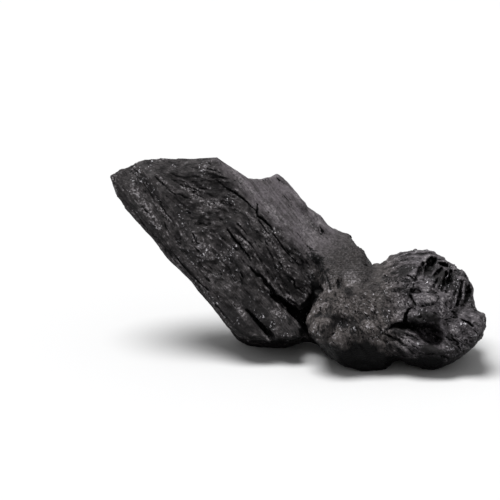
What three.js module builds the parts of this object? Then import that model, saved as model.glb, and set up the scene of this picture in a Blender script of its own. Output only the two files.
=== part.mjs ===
// A lump of hardwood charcoal: a split billet that leans on its foot and runs out into a root knot.
// The lump grew and charred as one piece, so it is one closed solid.
// Millimetres, +Z up. +X is to the right and +Y is away from the side that shows its split face.
// The origin is on the ground, under the middle of the lump.
//
// The lump is described by a field: the distance from a point to its skin, negative inside the wood.
// The billet, the knot, the splinters and the heels are joined in the field, and cracks and ribs are
// added to it. The skin, where the field is zero, is stretched over a grid of cells.

import * as THREE from "three";

const wood = {
  cell: [4.1, 2.9, 3.2], // cells that the skin is stretched over: along the grain, across it and out
  reach: { low: [-72, -32, -86], high: [130, 98, 32] }, // the space searched, in the billet's axes
  centre: [-1.92, 38.05], // middle of the lump in plan, which becomes the origin
  mendedDistance: -0.3, // the field where a corner is filled
};

// The billet's own axes: along the grain towards the foot, across its face, and out of the face.
const billet = {
  middle: new THREE.Vector3(-42.5, 30, 54.9), // a point on the split face
  along: new THREE.Vector3(0.62, -0.3, -0.72).normalize(),
  out: new THREE.Vector3(0.004, -0.921, 0.389).normalize(),
  // Outline of the split face, [along, across], from the top end round by the left edge and the foot.
  outline: [
    [-63, -17], [-53, -20.3], [-46, -21.3], [-27, -20.3], [-12, -20.3], [5, -18.2], [17, -17.7], [33, -17.7],
    [40, -16.5], [45, -13.5], [51, -6.5], [54, -2], [58, 2.5], [60, 6.5], [57, 9.6], [48, 10.3], [36, 11],
    [49, 15], [49, 21], [46, 27], [37, 35], [45, 46], [48, 56], [34, 57.8], [27, 55], [17, 54.2],
    [10, 51.6], [-2, 52.2], [-8, 51.3], [-14, 49.7], [-12.3, 45], [-13.5, 41.5], [-18.7, 36], [-25, 33.8],
    [-36.4, 30.2], [-43.4, 19.7], [-53, 9], [-58.6, 0.4],
  ],
  edgeRadius: 2.2,
  thickness: 36,
  taper: { from: 14, slope: 0.15 }, // its sides lean in from this deep towards the back
};
const across = new THREE.Vector3().crossVectors(billet.out, billet.along);

// The split face: where each part of it starts, and how steeply it falls away from there.
const face = {
  flank: { from: 27, slope: 0.62 }, // the smooth flank on its right
  leftBevel: { from: -15.5, slope: 0.95 },
  topFall: { from: -47, lean: 0.42, slope: 0.5 },
  setBack: { along: [6, 50], across: [10.5, 14], depth: 7 }, // right of the long crack, at the foot
  swell: { size: [19, 7.5], height: 1.5 },
  ripple: { size: [9, 3.8], height: 0.7 },
  smoothPart: { across: [28, 36], share: 0.25 }, // how much of the swells the smooth flank keeps
};

// The back keeps the round of the trunk and the long ribs of its bark side.
const barkSide = {
  middle: 14, // where the round is thickest, across
  round: 6.5,
  fall: 0.0093,
  flare: { along: [5, 60], height: 14 }, // the billet grows thicker at its foot
  topThinning: { from: -38, slope: 0.4 },
  rib: { size: [34, 7], height: 2.2 },
  ripple: { size: [12, 5], height: 1.2 },
};
const sideRib = { size: [16, 4.5], height: 0.9 };

// The front view: it looks along +Y and down by this much. Points in it are [x, height].
const frontViewTilt = THREE.MathUtils.degToRad(16);

const knot = {
  // Outline in the front view, from the notch beside the billet round by the head, the toe and the crotch.
  outline: [
    [37, 53.8], [46, 56.7], [60.5, 60.7], [64.5, 61.3], [70, 58.2], [77.5, 53.8], [82.3, 49.5], [84.8, 41],
    [85.6, 31], [89.5, 29.3], [90.3, 23.5], [88.8, 17.3], [82, 10.2], [75, 5.4], [70, 3], [63, 2.2],
    [52, 4.9], [47, 5.2], [43, 0.8], [36, -0.3], [29, 1], [20, 5.3], [14.5, 10.5], [9, 16.2],
    [5, 21], [4.6, 25], [9, 38.5], [11.3, 41], [8, 53.5], [0, 66], [4, 78], [15, 72], [24, 68], [30, 62.2],
  ],
  edgeRadius: 10,
  front: { lowest: -8, from: 14, bend: 0.0135 }, // how deep the front lies, and how it leans back above
  undercut: { from: 15, bend: 0.065 }, // how its underside runs back below this height
  back: { lowest: 36, bend: 0.0055, headBend: 0.0035 }, // the back leans away too, the head's less
  head: [38, 58], // where the shoulder turns into the head, in x
  burl: { size: 13, height: 1.8 },
  smallBurl: { size: 6.5, height: 1 },
};

// The cave under the knot's head, in its front view: its mouth, and how steeply it deepens inside.
const hollow = {
  outline: [
    [38, 20], [43, 24.5], [50, 28.3], [55, 25.8], [66, 25.2], [70.5, 20], [75, 15.5], [72, 11.5],
    [66, 13], [60, 14], [54, 15], [48, 19.4], [42, 18],
  ],
  depth: 16,
  run: 4.5,
};

// Swells and dips of the knot's front, in its front view: centre, half sizes, lean and height.
const knotForms = {
  leftBulb: { at: [20, 24], size: [17, 24], lean: 0, height: 4.5 },
  head: { at: [64, 41], size: [19, 15], lean: -0.15, height: 8 },
  rightEnd: { at: [83, 22], size: [9, 13], lean: 0, height: 5 },
  lip: { at: [64, 10], size: [22, 8], lean: -0.18, height: 6 },
  saddle: { at: [37, 54], size: [7, 9], lean: 0, height: -3 },
  footHollow: { at: [46, 6], size: [7, 9], lean: 0, height: -6 },
};

// Root heels under the back, which grew on from the billet and the knot: centre, half sizes and how
// far each melts into the rest.
const heels = {
  knotHeel: { centre: [34, 46, 12], size: [26, 17, 18], melt: 14 },
  footHeel: { centre: [-10, 53, 8], size: [22, 13, 13], melt: 12 },
  crotch: { centre: [8, 42, 36], size: [9, 9, 13], melt: 5 }, // closes the notch between billet and knot
};

// The spots that the lump stands on, worn flat: middle and radius. Between them it clears the ground.
const footSpots = [
  { at: [-15, 50], radius: 10 },
  { at: [35, 3], radius: 8 },
  { at: [65, 13], radius: 7 },
  { at: [40, 50], radius: 8 },
];
const clearance = { height: 4, run: 12 };

// Blades left standing where the wood split: both ends in the billet's axes, and their radii.
const splinters = {
  footBlade: { from: [34, -10, -3], to: [52, -6.8, -1.5], radii: [3.4, 1.2] },
  topBlade: { from: [-13, 47, -15], to: [8, 48.5, -14], radii: [1.4, 3.0] },
  sideBlade: { from: [22, 51, -16], to: [42, 53, -15], radii: [1.6, 3.4] },
};

// How far the corner between two joined shapes is rounded.
const melt = { splinter: 1.5, knot: 5 };

// Cracks along the grain of the split face: points [along, across], half width and depth at both ends.
const faceCracks = [
  { path: [[-9, 12.5], [6, 13.5], [16, 12]], width: [2.2, 3.6], depth: [2.5, 6] },
  { path: [[15, 9], [25, 9.8], [37, 10.6], [50, 13]], width: [2.8, 5], depth: [5, 13] },
  { path: [[-42, 27], [-25, 27.5], [-12, 26]], width: [2.2, 3.2], depth: [2, 4.5] },
  { path: [[-6, 30.5], [0, 27.5], [12, 29.5]], width: [2.4, 3.4], depth: [4, 6] },
  { path: [[32, -5.5], [43, -4.5], [53, -4]], width: [2.6, 4.2], depth: [4, 10] },
  { path: [[-52, -7], [-38, -6], [-22, -3]], width: [2.6, 3.4], depth: [2, 3.5] },
  { path: [[-30, 11], [-18, 10], [-6, 6]], width: [2.4, 3], depth: [2, 3.5] },
  { path: [[-12, 44], [0, 46.5], [9, 50]], width: [2.4, 2.8], depth: [3, 4.5] },
];

// Gaps that the knot's rings opened, in its front view.
const ringGaps = [
  { path: [[60.5, 54], [56, 46.5], [55, 40], [56.3, 33]], width: [2.6, 3], depth: [4, 6] },
  { path: [[71, 53.4], [66.7, 46], [63.5, 41]], width: [3, 3], depth: [8, 8] },
  { path: [[76.2, 52], [72, 45.4], [69.8, 38]], width: [3, 3], depth: [9, 8] },
  { path: [[83.8, 46], [82, 38], [80.6, 27.5]], width: [3.2, 3.6], depth: [8, 10] },
];

// Numbers that set one noise apart from another.
const seeds = { swell: 3.1, ripple: 7.7, rib: 11.3, backRipple: 5.2, side: 2.4 };

const { clamp, lerp, smoothstep } = THREE.MathUtils;

// Repeatable noise: a fixed value at each whole point of a lattice, eased between them, from -1 to 1.
function latticeValue(i, j, k) {
  let h = Math.imul(i, 374761393) ^ Math.imul(j, 668265263) ^ Math.imul(k, 1442695041);
  h = Math.imul(h ^ (h >>> 13), 1274126177);
  h ^= h >>> 16;
  return ((h >>> 0) / 4294967295) * 2 - 1;
}

const ease = (t) => t * t * (3 - 2 * t);

function noise(x, y, z) {
  const i = Math.floor(x);
  const j = Math.floor(y);
  const k = Math.floor(z);
  const u = ease(x - i);
  const v = ease(y - j);
  const w = ease(z - k);
  const edge = (dj, dk) => lerp(latticeValue(i, j + dj, k + dk), latticeValue(i + 1, j + dj, k + dk), u);
  return lerp(lerp(edge(0, 0), edge(1, 0), v), lerp(edge(0, 1), edge(1, 1), v), w);
}

// Noise stretched along the grain, in mm, and its fold, which has sharp crests.
const grainNoise = (a, b, { size, height }, seed) => height * noise(a / size[0], b / size[1], seed);
const ribNoise = (a, b, rib, seed) => rib.height - 2 * Math.abs(grainNoise(a, b, rib, seed));

// Joins two distances, with the corner between them rounded by the radius, or keeps what both hold.
function join(a, b, radius) {
  const h = Math.max(radius - Math.abs(a - b), 0) / radius;
  return Math.min(a, b) - h * h * radius * 0.25;
}

const meet = (a, b, radius) => -join(-a, -b, radius);

const ramp = (value) => Math.max(value, 0);

const sumOf = (list, measure) => list.reduce((sum, item) => sum + measure(item), 0);

// Where on the stretch from a to b the point (x, y) comes nearest, from 0 to 1, and how near.
function nearestOnStretch(x, y, a, b) {
  const run = [b[0] - a[0], b[1] - a[1]];
  const gap = [x - a[0], y - a[1]];
  const share = clamp((gap[0] * run[0] + gap[1] * run[1]) / (run[0] ** 2 + run[1] ** 2), 0, 1);
  return { share, distance: Math.hypot(gap[0] - share * run[0], gap[1] - share * run[1]) };
}

function outlineDistance(x, y, outline) {
  let nearest = Infinity;
  let inside = false;
  outline.forEach((a, i) => {
    const b = outline[(i + 1) % outline.length];
    nearest = Math.min(nearest, nearestOnStretch(x, y, a, b).distance);
    const crossesLevel = a[1] > y !== b[1] > y;
    if (crossesLevel && x < a[0] + ((b[0] - a[0]) * (y - a[1])) / (b[1] - a[1])) inside = !inside;
  });
  return inside ? -nearest : nearest;
}

// How deep a crack is at a point of its plane: a V along a path, from its start to its end.
function crackDepth(x, y, { path, width, depth }) {
  let deepest = 0;
  for (let i = 1; i < path.length; i += 1) {
    const { share, distance } = nearestOnStretch(x, y, path[i - 1], path[i]);
    const along = (i - 1 + share) / (path.length - 1);
    const open = ramp(1 - distance / lerp(...width, along));
    deepest = Math.max(deepest, open * lerp(...depth, along));
  }
  return deepest;
}

function ellipsoidDistance(point, { centre, size }) {
  const [dx, dy, dz] = point.toArray().map((value, axis) => (value - centre[axis]) / size[axis]);
  const k = Math.hypot(dx, dy, dz);
  const slope = Math.hypot(dx / size[0], dy / size[1], dz / size[2]);
  return slope < 1e-9 ? -Math.min(...size) : (k * (k - 1)) / slope;
}

function bladeDistance(place, { from, to, radii }) {
  const line = new THREE.Line3(new THREE.Vector3(...from), new THREE.Vector3(...to));
  const share = line.closestPointToPointParameter(place, true);
  return line.at(share, new THREE.Vector3()).distanceTo(place) - lerp(...radii, share);
}

// The billet

function faceHeight(s, t) {
  const flank = ramp(t - face.flank.from) * face.flank.slope;
  const leftBevel = ramp(face.leftBevel.from - t) * face.leftBevel.slope;
  const topFall = ramp(face.topFall.from + face.topFall.lean * t - s) * face.topFall.slope;
  const setBack =
    smoothstep(s, ...face.setBack.along) * smoothstep(t, ...face.setBack.across) * face.setBack.depth;
  const swells = grainNoise(s, t, face.swell, seeds.swell) + grainNoise(s, t, face.ripple, seeds.ripple);
  const keep = lerp(1, face.smoothPart.share, smoothstep(t, ...face.smoothPart.across));
  const cracks = sumOf(faceCracks, (crack) => crackDepth(s, t, crack));
  return swells * keep - flank - leftBevel - topFall - setBack - cracks;
}

function backHeight(s, t) {
  const round = barkSide.round - barkSide.fall * (t - barkSide.middle) ** 2;
  const flare = smoothstep(s, ...barkSide.flare.along) * barkSide.flare.height;
  const ribs = ribNoise(s, t, barkSide.rib, seeds.rib);
  const ripples = grainNoise(s, t, barkSide.ripple, seeds.backRipple);
  const thinning = ramp(barkSide.topThinning.from - s) * barkSide.topThinning.slope;
  return thinning - billet.thickness - round - flare - ribs - ripples;
}

function billetDistance(s, t, n) {
  const lean = ramp(-n - billet.taper.from) * billet.taper.slope;
  const edge = outlineDistance(s, t, billet.outline) + lean + grainNoise(s, n, sideRib, seeds.side);
  const skin = meet(n - faceHeight(s, t), backHeight(s, t) - n, billet.edgeRadius);
  return meet(edge, skin, billet.edgeRadius);
}

// The knot

// A smooth mound, 1 at its middle and 0 at its rim, leaning by its lean as it goes right.
function mound(x, height, { at, size, lean }) {
  const u = (x - at[0]) / size[0];
  const v = (height - at[1] - lean * (x - at[0])) / size[1];
  return ramp(1 - u * u - v * v) ** 1.5;
}

const burlNoise = ({ x, y, z }, { size, height }) => height * noise(x / size, y / size, z / size);

function hollowDepth(x, height) {
  return smoothstep(-outlineDistance(x, height, hollow.outline), 0, hollow.run) * hollow.depth;
}

function knotDistance(point) {
  const { x, y, z } = point;
  const height = y * Math.sin(frontViewTilt) + z * Math.cos(frontViewTilt);
  const depth = y * Math.cos(frontViewTilt) - z * Math.sin(frontViewTilt);
  const forms = sumOf(Object.values(knotForms), (form) => form.height * mound(x, height, form));
  const gaps = sumOf(ringGaps, (gap) => crackDepth(x, height, gap));
  const leanBack = knot.front.bend * ramp(height - knot.front.from) ** 2;
  const runBack = knot.undercut.bend * ramp(knot.undercut.from - height) ** 2;
  const front = knot.front.lowest + leanBack + runBack - forms + gaps + hollowDepth(x, height);
  const bend = lerp(knot.back.bend, knot.back.headBend, smoothstep(x, ...knot.head));
  const back = knot.back.lowest + bend * height ** 2;
  const edge = outlineDistance(x, height, knot.outline);
  const burls = burlNoise(point, knot.burl) + burlNoise(point, knot.smallBurl);
  return meet(edge, meet(front - depth, depth - back, knot.edgeRadius), knot.edgeRadius) + burls;
}

// The lump

// How far the ground is cleared at a point: nothing on the spots that the lump stands on.
function groundClearance(x, y) {
  const gaps = footSpots.map(({ at, radius }) => Math.hypot(x - at[0], y - at[1]) - radius);
  return smoothstep(Math.min(...gaps), 0, clearance.run) * clearance.height;
}

function lumpField(point) {
  const fromMiddle = point.clone().sub(billet.middle);
  const place = new THREE.Vector3(
    fromMiddle.dot(billet.along),
    fromMiddle.dot(across),
    fromMiddle.dot(billet.out),
  );
  let lump = billetDistance(...place);
  for (const blade of Object.values(splinters)) lump = join(lump, bladeDistance(place, blade), melt.splinter);
  lump = join(lump, knotDistance(point), melt.knot);
  for (const heel of Object.values(heels)) lump = join(lump, ellipsoidDistance(point, heel), heel.melt);
  return Math.max(lump, groundClearance(point.x, point.y) - point.z);
}

// The skin

// A place in the grid of cells, which lies along the grain, as a point.
function gridPoint(place) {
  const [s, t, n] = place.map((index, axis) => wood.reach.low[axis] + index * wood.cell[axis]);
  return billet.middle
    .clone()
    .addScaledVector(billet.along, s)
    .addScaledVector(across, t)
    .addScaledVector(billet.out, n);
}

// The field at every corner of the cells, as one list, with how to step along it.
function sampleField() {
  const { low, high } = wood.reach;
  const count = low.map((start, axis) => Math.ceil((high[axis] - start) / wood.cell[axis]) + 1);
  const step = [1, count[0], count[0] * count[1]];
  const values = new Float32Array(count[0] * count[1] * count[2]);
  for (let k = 0; k < count[2]; k += 1)
    for (let j = 0; j < count[1]; j += 1)
      for (let i = 0; i < count[0]; i += 1)
        values[i + j * step[1] + k * step[2]] = lumpField(gridPoint([i, j, k]));
  return { values, count, step };
}

// Fills corners of cells where wood touches wood only across a face's or a cell's diagonal, because
// the skin would pinch there. Says whether it filled any.
function mendField({ values, count, step }) {
  const wooden = (at) => values[at] < 0;
  let mended = false;
  const fill = (at) => {
    values[at] = wood.mendedDistance;
    mended = true;
  };
  for (let k = 0; k < count[2] - 1; k += 1)
    for (let j = 0; j < count[1] - 1; j += 1)
      for (let i = 0; i < count[0] - 1; i += 1) {
        const at = i + j * step[1] + k * step[2];
        for (const [a, b] of [[0, 1], [0, 2], [1, 2]]) {
          const [p, q, r, t] = [at, at + step[a], at + step[b], at + step[a] + step[b]];
          if (wooden(p) === wooden(t) && wooden(q) === wooden(r) && wooden(p) !== wooden(q)) {
            fill(wooden(p) ? q : p);
          }
        }
        const corners = [0, 1, 2, 3, 4, 5, 6, 7].map(
          (bits) => at + (bits & 1) * step[0] + ((bits >> 1) & 1) * step[1] + (bits >> 2) * step[2],
        );
        for (let c = 0; c < 4; c += 1) {
          const side = wooden(corners[c]);
          const alike = corners.filter((corner) => wooden(corner) === side).length;
          if (side !== wooden(corners[7 - c]) || alike !== 2) continue;
          fill(side ? corners[c ^ 1] : corners[c]);
        }
      }
  return mended;
}

// Keeps only the largest body of wood, and fills every pocket of air that is sealed in it.
function keepOneBody({ values, count, step }) {
  const label = new Int32Array(values.length);
  const sizes = [0];
  for (let start = 0; start < values.length; start += 1) {
    if (label[start]) continue;
    const wooden = values[start] < 0;
    const stack = [start];
    label[start] = sizes.length;
    let size = 0;
    while (stack.length) {
      const at = stack.pop();
      size += 1;
      const place = [at % count[0], Math.floor(at / step[1]) % count[1], Math.floor(at / step[2])];
      for (let axis = 0; axis < 3; axis += 1)
        for (const way of [-1, 1]) {
          const next = at + way * step[axis];
          if (place[axis] + way < 0 || place[axis] + way >= count[axis] || label[next]) continue;
          if (values[next] < 0 !== wooden) continue;
          label[next] = sizes.length;
          stack.push(next);
        }
    }
    sizes.push(wooden ? size : -size);
  }
  const largest = sizes.indexOf(Math.max(...sizes));
  const outside = label[0];
  for (let at = 0; at < values.length; at += 1) {
    if (values[at] < 0 && label[at] !== largest) values[at] = -wood.mendedDistance;
    else if (values[at] >= 0 && label[at] !== outside) values[at] = wood.mendedDistance;
  }
}

// One vertex in each cell that the skin passes through, at the middle of where it crosses the cell's
// edges, and two triangles across each edge of the grid that it crosses.
function skinGeometry({ values, count, step }) {
  const vertexOf = new Map();
  const positions = [];
  const vertexAt = (i, j, k) => {
    const at = i + j * step[1] + k * step[2];
    if (vertexOf.has(at)) return vertexOf.get(at);
    const sum = [0, 0, 0];
    let crossings = 0;
    for (let axis = 0; axis < 3; axis += 1)
      for (let side = 0; side < 4; side += 1) {
        const offset = [0, 0, 0];
        offset[(axis + 1) % 3] = side & 1;
        offset[(axis + 2) % 3] = side >> 1;
        const from = at + offset[0] * step[0] + offset[1] * step[1] + offset[2] * step[2];
        const [a, b] = [values[from], values[from + step[axis]]];
        if (a < 0 === b < 0) continue;
        offset[axis] = a / (a - b);
        offset.forEach((value, n) => (sum[n] += value));
        crossings += 1;
      }
    const vertex = positions.length / 3;
    vertexOf.set(at, vertex);
    positions.push(...gridPoint([i, j, k].map((index, axis) => index + sum[axis] / crossings)));
    return vertex;
  };

  const triangles = [];
  for (let k = 1; k < count[2] - 1; k += 1)
    for (let j = 1; j < count[1] - 1; j += 1)
      for (let i = 1; i < count[0] - 1; i += 1)
        for (let axis = 0; axis < 3; axis += 1) {
          const at = i + j * step[1] + k * step[2];
          const inward = values[at] < 0;
          if (inward === values[at + step[axis]] < 0) continue;
          const [u, v] = [(axis + 1) % 3, (axis + 2) % 3];
          const ring = [[0, 0], [1, 0], [1, 1], [0, 1]].map(([du, dv]) => {
            const place = [i, j, k];
            place[u] -= du;
            place[v] -= dv;
            return vertexAt(...place);
          });
          if (!inward) ring.reverse();
          triangles.push(ring[0], ring[1], ring[2], ring[0], ring[2], ring[3]);
        }
  const geometry = new THREE.BufferGeometry();
  geometry.setAttribute("position", new THREE.Float32BufferAttribute(positions, 3));
  geometry.setIndex(triangles);
  return geometry;
}

function lumpGeometry() {
  const field = sampleField();
  do keepOneBody(field);
  while (mendField(field));
  const geometry = skinGeometry(field);
  geometry.translate(-wood.centre[0], -wood.centre[1], 0);
  geometry.computeVertexNormals();
  return geometry;
}

const charcoal = new THREE.MeshStandardMaterial({ color: 0x2b292a, roughness: 0.7, metalness: 0 });
const lump = new THREE.Mesh(lumpGeometry(), charcoal);
lump.name = "charcoal_lump";

const group = new THREE.Group();
group.add(lump);

export default group;
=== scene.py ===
# A lump of hardwood charcoal: a split billet that leans on its foot and runs out into a root knot.
# Its skin lies where a field of distances is zero. The field is worked out with numpy as whole arrays, in
# the lump's own millimetres, and the skin is set in the frame in metres.
import math
from concurrent.futures import ThreadPoolExecutor

import bpy
import numpy as np
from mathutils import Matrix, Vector


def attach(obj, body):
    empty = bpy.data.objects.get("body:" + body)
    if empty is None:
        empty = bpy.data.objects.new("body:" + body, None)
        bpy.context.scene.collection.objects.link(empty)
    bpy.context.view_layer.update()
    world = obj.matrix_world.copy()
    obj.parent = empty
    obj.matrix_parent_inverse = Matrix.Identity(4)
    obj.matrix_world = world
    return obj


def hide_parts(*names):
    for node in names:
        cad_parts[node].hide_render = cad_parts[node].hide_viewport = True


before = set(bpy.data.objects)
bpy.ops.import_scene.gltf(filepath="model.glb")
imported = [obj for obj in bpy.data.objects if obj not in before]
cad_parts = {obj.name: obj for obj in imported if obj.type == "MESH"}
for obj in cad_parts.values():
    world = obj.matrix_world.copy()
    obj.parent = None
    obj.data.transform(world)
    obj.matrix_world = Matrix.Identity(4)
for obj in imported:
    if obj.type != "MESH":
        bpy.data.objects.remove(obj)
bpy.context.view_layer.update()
print("frame loaded:", sorted(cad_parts))

lumpNode = "charcoal_lump"
lumpCentre = np.array([-1.92, 38.05, 0.0])  # the lump's middle in plan, in mm, which is the frame's origin
metresPerMm = 0.001


# Numbers and noise

def unit(vector):  # the vector over its own length
    return np.array(vector, float) / np.linalg.norm(vector)


def ramp(value):  # what is above zero
    return np.maximum(value, 0)


def smoothStep(value, low, high):  # 0 below low, 1 above high, and 3x² - 2x³ between them
    share = np.clip((value - low) / (high - low), 0, 1)
    return share * share * (3 - 2 * share)


def mix(a, b, share):  # a share of the way from a to b
    return a + (b - a) * share


def latticeHash(i, j, k):  # a fixed 32-bit number at each whole point, stirred from its three numbers
    h = i * np.uint32(374761393) ^ j * np.uint32(668265263) ^ k * np.uint32(1442695041)
    h = (h ^ (h >> 13)) * np.uint32(1274126177)
    return h ^ (h >> 16)


def wholeAndRest(x):  # the whole number below x, wrapped to 32 bits, and what x has above it
    low = np.floor(x)
    return low.astype(np.int32).view(np.uint32), (x - low).astype(np.float32)


def swells(x, y, z):  # value noise, from -1 to 1: the hash at the eight corners, eased between them
    x, y, z = np.broadcast_arrays(*(np.asarray(v, np.float32) for v in (x, y, z)))
    (i, u), (j, v), (k, w) = wholeAndRest(x), wholeAndRest(y), wholeAndRest(z)
    u, v, w = (share * share * (3 - 2 * share) for share in (u, v, w))

    def row(dj, dk):
        a, b = (latticeHash(i + di, j + dj, k + dk).astype(np.float32) for di in (0, 1))
        return mix(a, b, u)

    near, far = (mix(row(0, dk), row(1, dk), v) for dk in (0, 1))
    return mix(near, far, w) / np.float32(2147483647.5) - 1


def waves(x, y, seed):  # gradient noise: a slope from the hash at the four corners, eased between them
    (i, u), (j, v) = wholeAndRest(x), wholeAndRest(y)
    k = np.array([seed], np.uint32)

    def pull(di, dj):
        h = latticeHash(i + di, j + dj, k)
        slopeX = (h & 65535).astype(np.float32) / 32768 - 1
        slopeY = (h >> 16).astype(np.float32) / 32768 - 1
        return slopeX * (u - di) + slopeY * (v - dj)

    easedU, easedV = smoothStep(u, 0, 1), smoothStep(v, 0, 1)
    return 1.7 * mix(mix(pull(0, 0), pull(1, 0), easedU), mix(pull(0, 1), pull(1, 1), easedU), easedV)


def clouds(points, size, seed):  # gradient noise in space, with slopes at the eight corners round a place
    (i, u), (j, v), (k, w) = (wholeAndRest(column / size + seed) for column in points)

    def pull(di, dj, dk):
        h = latticeHash(i + di, j + dj, k + dk)
        slopes = (((h >> shift) & 1023).astype(np.float32) / 512 - 1 for shift in (0, 10, 20))
        return sum(slope * (rest - d) for slope, rest, d in zip(slopes, (u, v, w), (di, dj, dk)))

    easedU, easedV, easedW = smoothStep(u, 0, 1), smoothStep(v, 0, 1), smoothStep(w, 0, 1)
    near, far = (
        mix(mix(pull(0, 0, dk), pull(1, 0, dk), easedU), mix(pull(0, 1, dk), pull(1, 1, dk), easedU), easedV)
        for dk in (0, 1)
    )
    return 1.6 * mix(near, far, easedW)


def lumpy(noise):  # the noise's square and a little more, to the power 0.4: round lumps with gaps between
    return (noise * noise + 0.004) ** 0.4


def crested(noise):  # thin crests where the noise passes zero
    return (1 - np.minimum(np.abs(noise), 1)) ** 2


def stepped(level):  # flat treads, with a steep riser over the last fifth of each
    tread = np.floor(level)
    return tread + smoothStep(level - tread, 0.8, 1)


def grooves(noise, width):  # a V of this half width, in the noise's own measure, where it passes zero
    return ramp(1 - np.abs(noise) / width)


# Reliefs: each is given as two sizes in mm, a height in mm and a seed, and then what else it needs

def grainSwell(a, b, relief):  # value noise stretched by the two sizes, times its height
    (sizeA, sizeB), high, seed = relief
    return high * swells(a / sizeA, b / sizeB, seed)


def stretched(a, b, size, seed):  # gradient noise stretched by two sizes
    return waves(a / size[0], b / size[1], seed)


def rippled(a, b, relief):  # stretched noise times its height
    size, high, seed = relief
    return high * stretched(a, b, size, seed)


def lumped(a, b, relief):  # lumps of stretched noise, less a level that keeps their mean near zero
    size, high, seed, level = relief
    return high * (lumpy(stretched(a, b, size, seed)) - level)


def furrowed(a, b, relief):  # grooves of a half width where stretched noise passes zero, times their depth
    size, deep, seed, width = relief
    return deep * grooves(stretched(a, b, size, seed), width)


# Shapes

def join(a, b, radius):  # the smaller of two distances, with the corner between them filled by a radius
    h = ramp(radius - np.abs(a - b)) / radius
    return np.minimum(a, b) - h * h * radius * 0.25


def meet(a, b, radius):  # what both shapes hold, with the corner between them rounded by a radius
    return -join(-a, -b, radius)


def nearestOnStretch(x, y, a, b):  # the share along a stretch of its nearest point, and how near that is
    runX, runY = b[0] - a[0], b[1] - a[1]
    share = np.clip(((x - a[0]) * runX + (y - a[1]) * runY) / (runX ** 2 + runY ** 2), 0, 1)
    return share, np.hypot(x - a[0] - share * runX, y - a[1] - share * runY)


def outlineDistance(x, y, outline):  # distance to a closed outline, negative inside it by the even-odd rule
    nearest = np.full(x.shape, np.inf)
    inside = np.zeros(x.shape, bool)
    for a, b in zip(outline, outline[1:] + outline[:1]):
        nearest = np.minimum(nearest, nearestOnStretch(x, y, a, b)[1])
        if b[1] != a[1]:
            crosses = (a[1] > y) != (b[1] > y)
            inside ^= crosses & (x < a[0] + (b[0] - a[0]) * (y - a[1]) / (b[1] - a[1]))
    return np.where(inside, -nearest, nearest)


def worked(near, work, columns, otherwise=0.0):  # the work done where it counts, and a fixed value elsewhere
    values = np.full(near.shape, otherwise)
    if near.any():
        values[near] = work(*(column[near] for column in columns))
    return values


def withinBox(x, y, corners, reach):  # where a place is inside the box round some corners, or this near it
    xs, ys = zip(*corners)
    return (x > min(xs) - reach) & (x < max(xs) + reach) & (y > min(ys) - reach) & (y < max(ys) + reach)


def nearPath(x, y, path, widths):  # 1 on a path and 0 at its half width, and the width there over the widest
    nearness, share = np.zeros(x.shape), np.zeros(x.shape)
    for n, (a, b) in enumerate(zip(path, path[1:])):
        along, gap = nearestOnStretch(x, y, a, b)
        width = np.interp((n + along) / (len(path) - 1), (0, 0.5, 1), widths)
        closer = 1 - gap / width > nearness
        nearness = np.where(closer, 1 - gap / width, nearness)
        share = np.where(closer, width / max(widths), share)
    return nearness, share


crackSides = {
    "widening": 0.15,  # mm added to each half width
    "tear": ((1.5, 1.2), 0.6, 92),
    "fall": (0.05, 0.8),  # from what nearness to what the sides fall
    "shallowEnds": 1.3,  # the power of the width by which thin ends are shallower
}


def crackDepth(x, y, crack):  # a trench with torn sides: its path, half widths and greatest depth
    path, widths, depth = crack
    widths = [width + crackSides["widening"] for width in widths]

    def trench(x, y):
        nearness, share = nearPath(x, y, path, widths)
        nearness = nearness * (1 + rippled(x, y, crackSides["tear"]))
        return smoothStep(nearness, *crackSides["fall"]) * share ** crackSides["shallowEnds"] * depth

    return worked(withinBox(x, y, path, max(widths)), trench, (x, y))


def ridgeHeight(x, y, ridge):  # a round ridge: its path, half widths and greatest height
    path, widths, high = ridge

    def crest(x, y):
        nearness, share = nearPath(x, y, path, widths)
        return np.sqrt(nearness * (2 - nearness)) * share * high

    return worked(withinBox(x, y, path, max(widths)), crest, (x, y))


patchEdges = {
    "broadTear": ((2.6, 1.6), 0.4, 90),
    "fineTear": ((1.1, 0.8), 0.3, 91),
    "reach": 1.8,  # how many half sizes away a patch can still count
    "end": (1.1, 0.6),  # where it ends, and over how much it fades, in half sizes
}


def patchShare(x, y, patches):  # 1 on slanting ellipses whose edges noise breaks up
    rag = rippled(x, y, patchEdges["broadTear"]) + rippled(x, y, patchEdges["fineTear"])
    share = np.zeros(x.shape)
    end, fade = patchEdges["end"]
    for at, size, degrees in patches:
        near = withinBox(x, y, [at], patchEdges["reach"] * max(size))
        ahead, aside = turned(x[near] - at[0], y[near] - at[1], degrees)
        inside = smoothStep(end - np.hypot(ahead / size[0], aside / size[1]) + rag[near], 0, fade)
        share[near] = np.maximum(share[near], inside)
    return share


def turned(x, y, degrees):  # the place in axes that are turned by an angle
    cos, sin = math.cos(math.radians(degrees)), math.sin(math.radians(degrees))
    return x * cos + y * sin, y * cos - x * sin


def ellipsoidDistance(points, centre, size):  # k (k - 1) over the slope of k, where k is 1 on the skin
    scaled = (points - centre) / size
    k = np.linalg.norm(scaled, axis=1)
    slope = np.linalg.norm(scaled / size, axis=1)
    return k * (k - 1) / np.maximum(slope, 1e-9)


def overEllipse(x, height, form):  # 1 - u² - v² over a leaning ellipse, and its height
    at, size, lean, high = form
    u = (x - at[0]) / size[0]
    v = (height - at[1] - lean * (x - at[0])) / size[1]
    return ramp(1 - u * u - v * v), high


def mound(x, height, form):  # a soft swelling, to the power 1.5
    over, high = overEllipse(x, height, form)
    return high * over ** 1.5


def nodule(x, height, form):  # a round cap with a sharp foot, to the power 0.6
    over, high = overEllipse(x, height, form)
    return high * over ** 0.6


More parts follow.
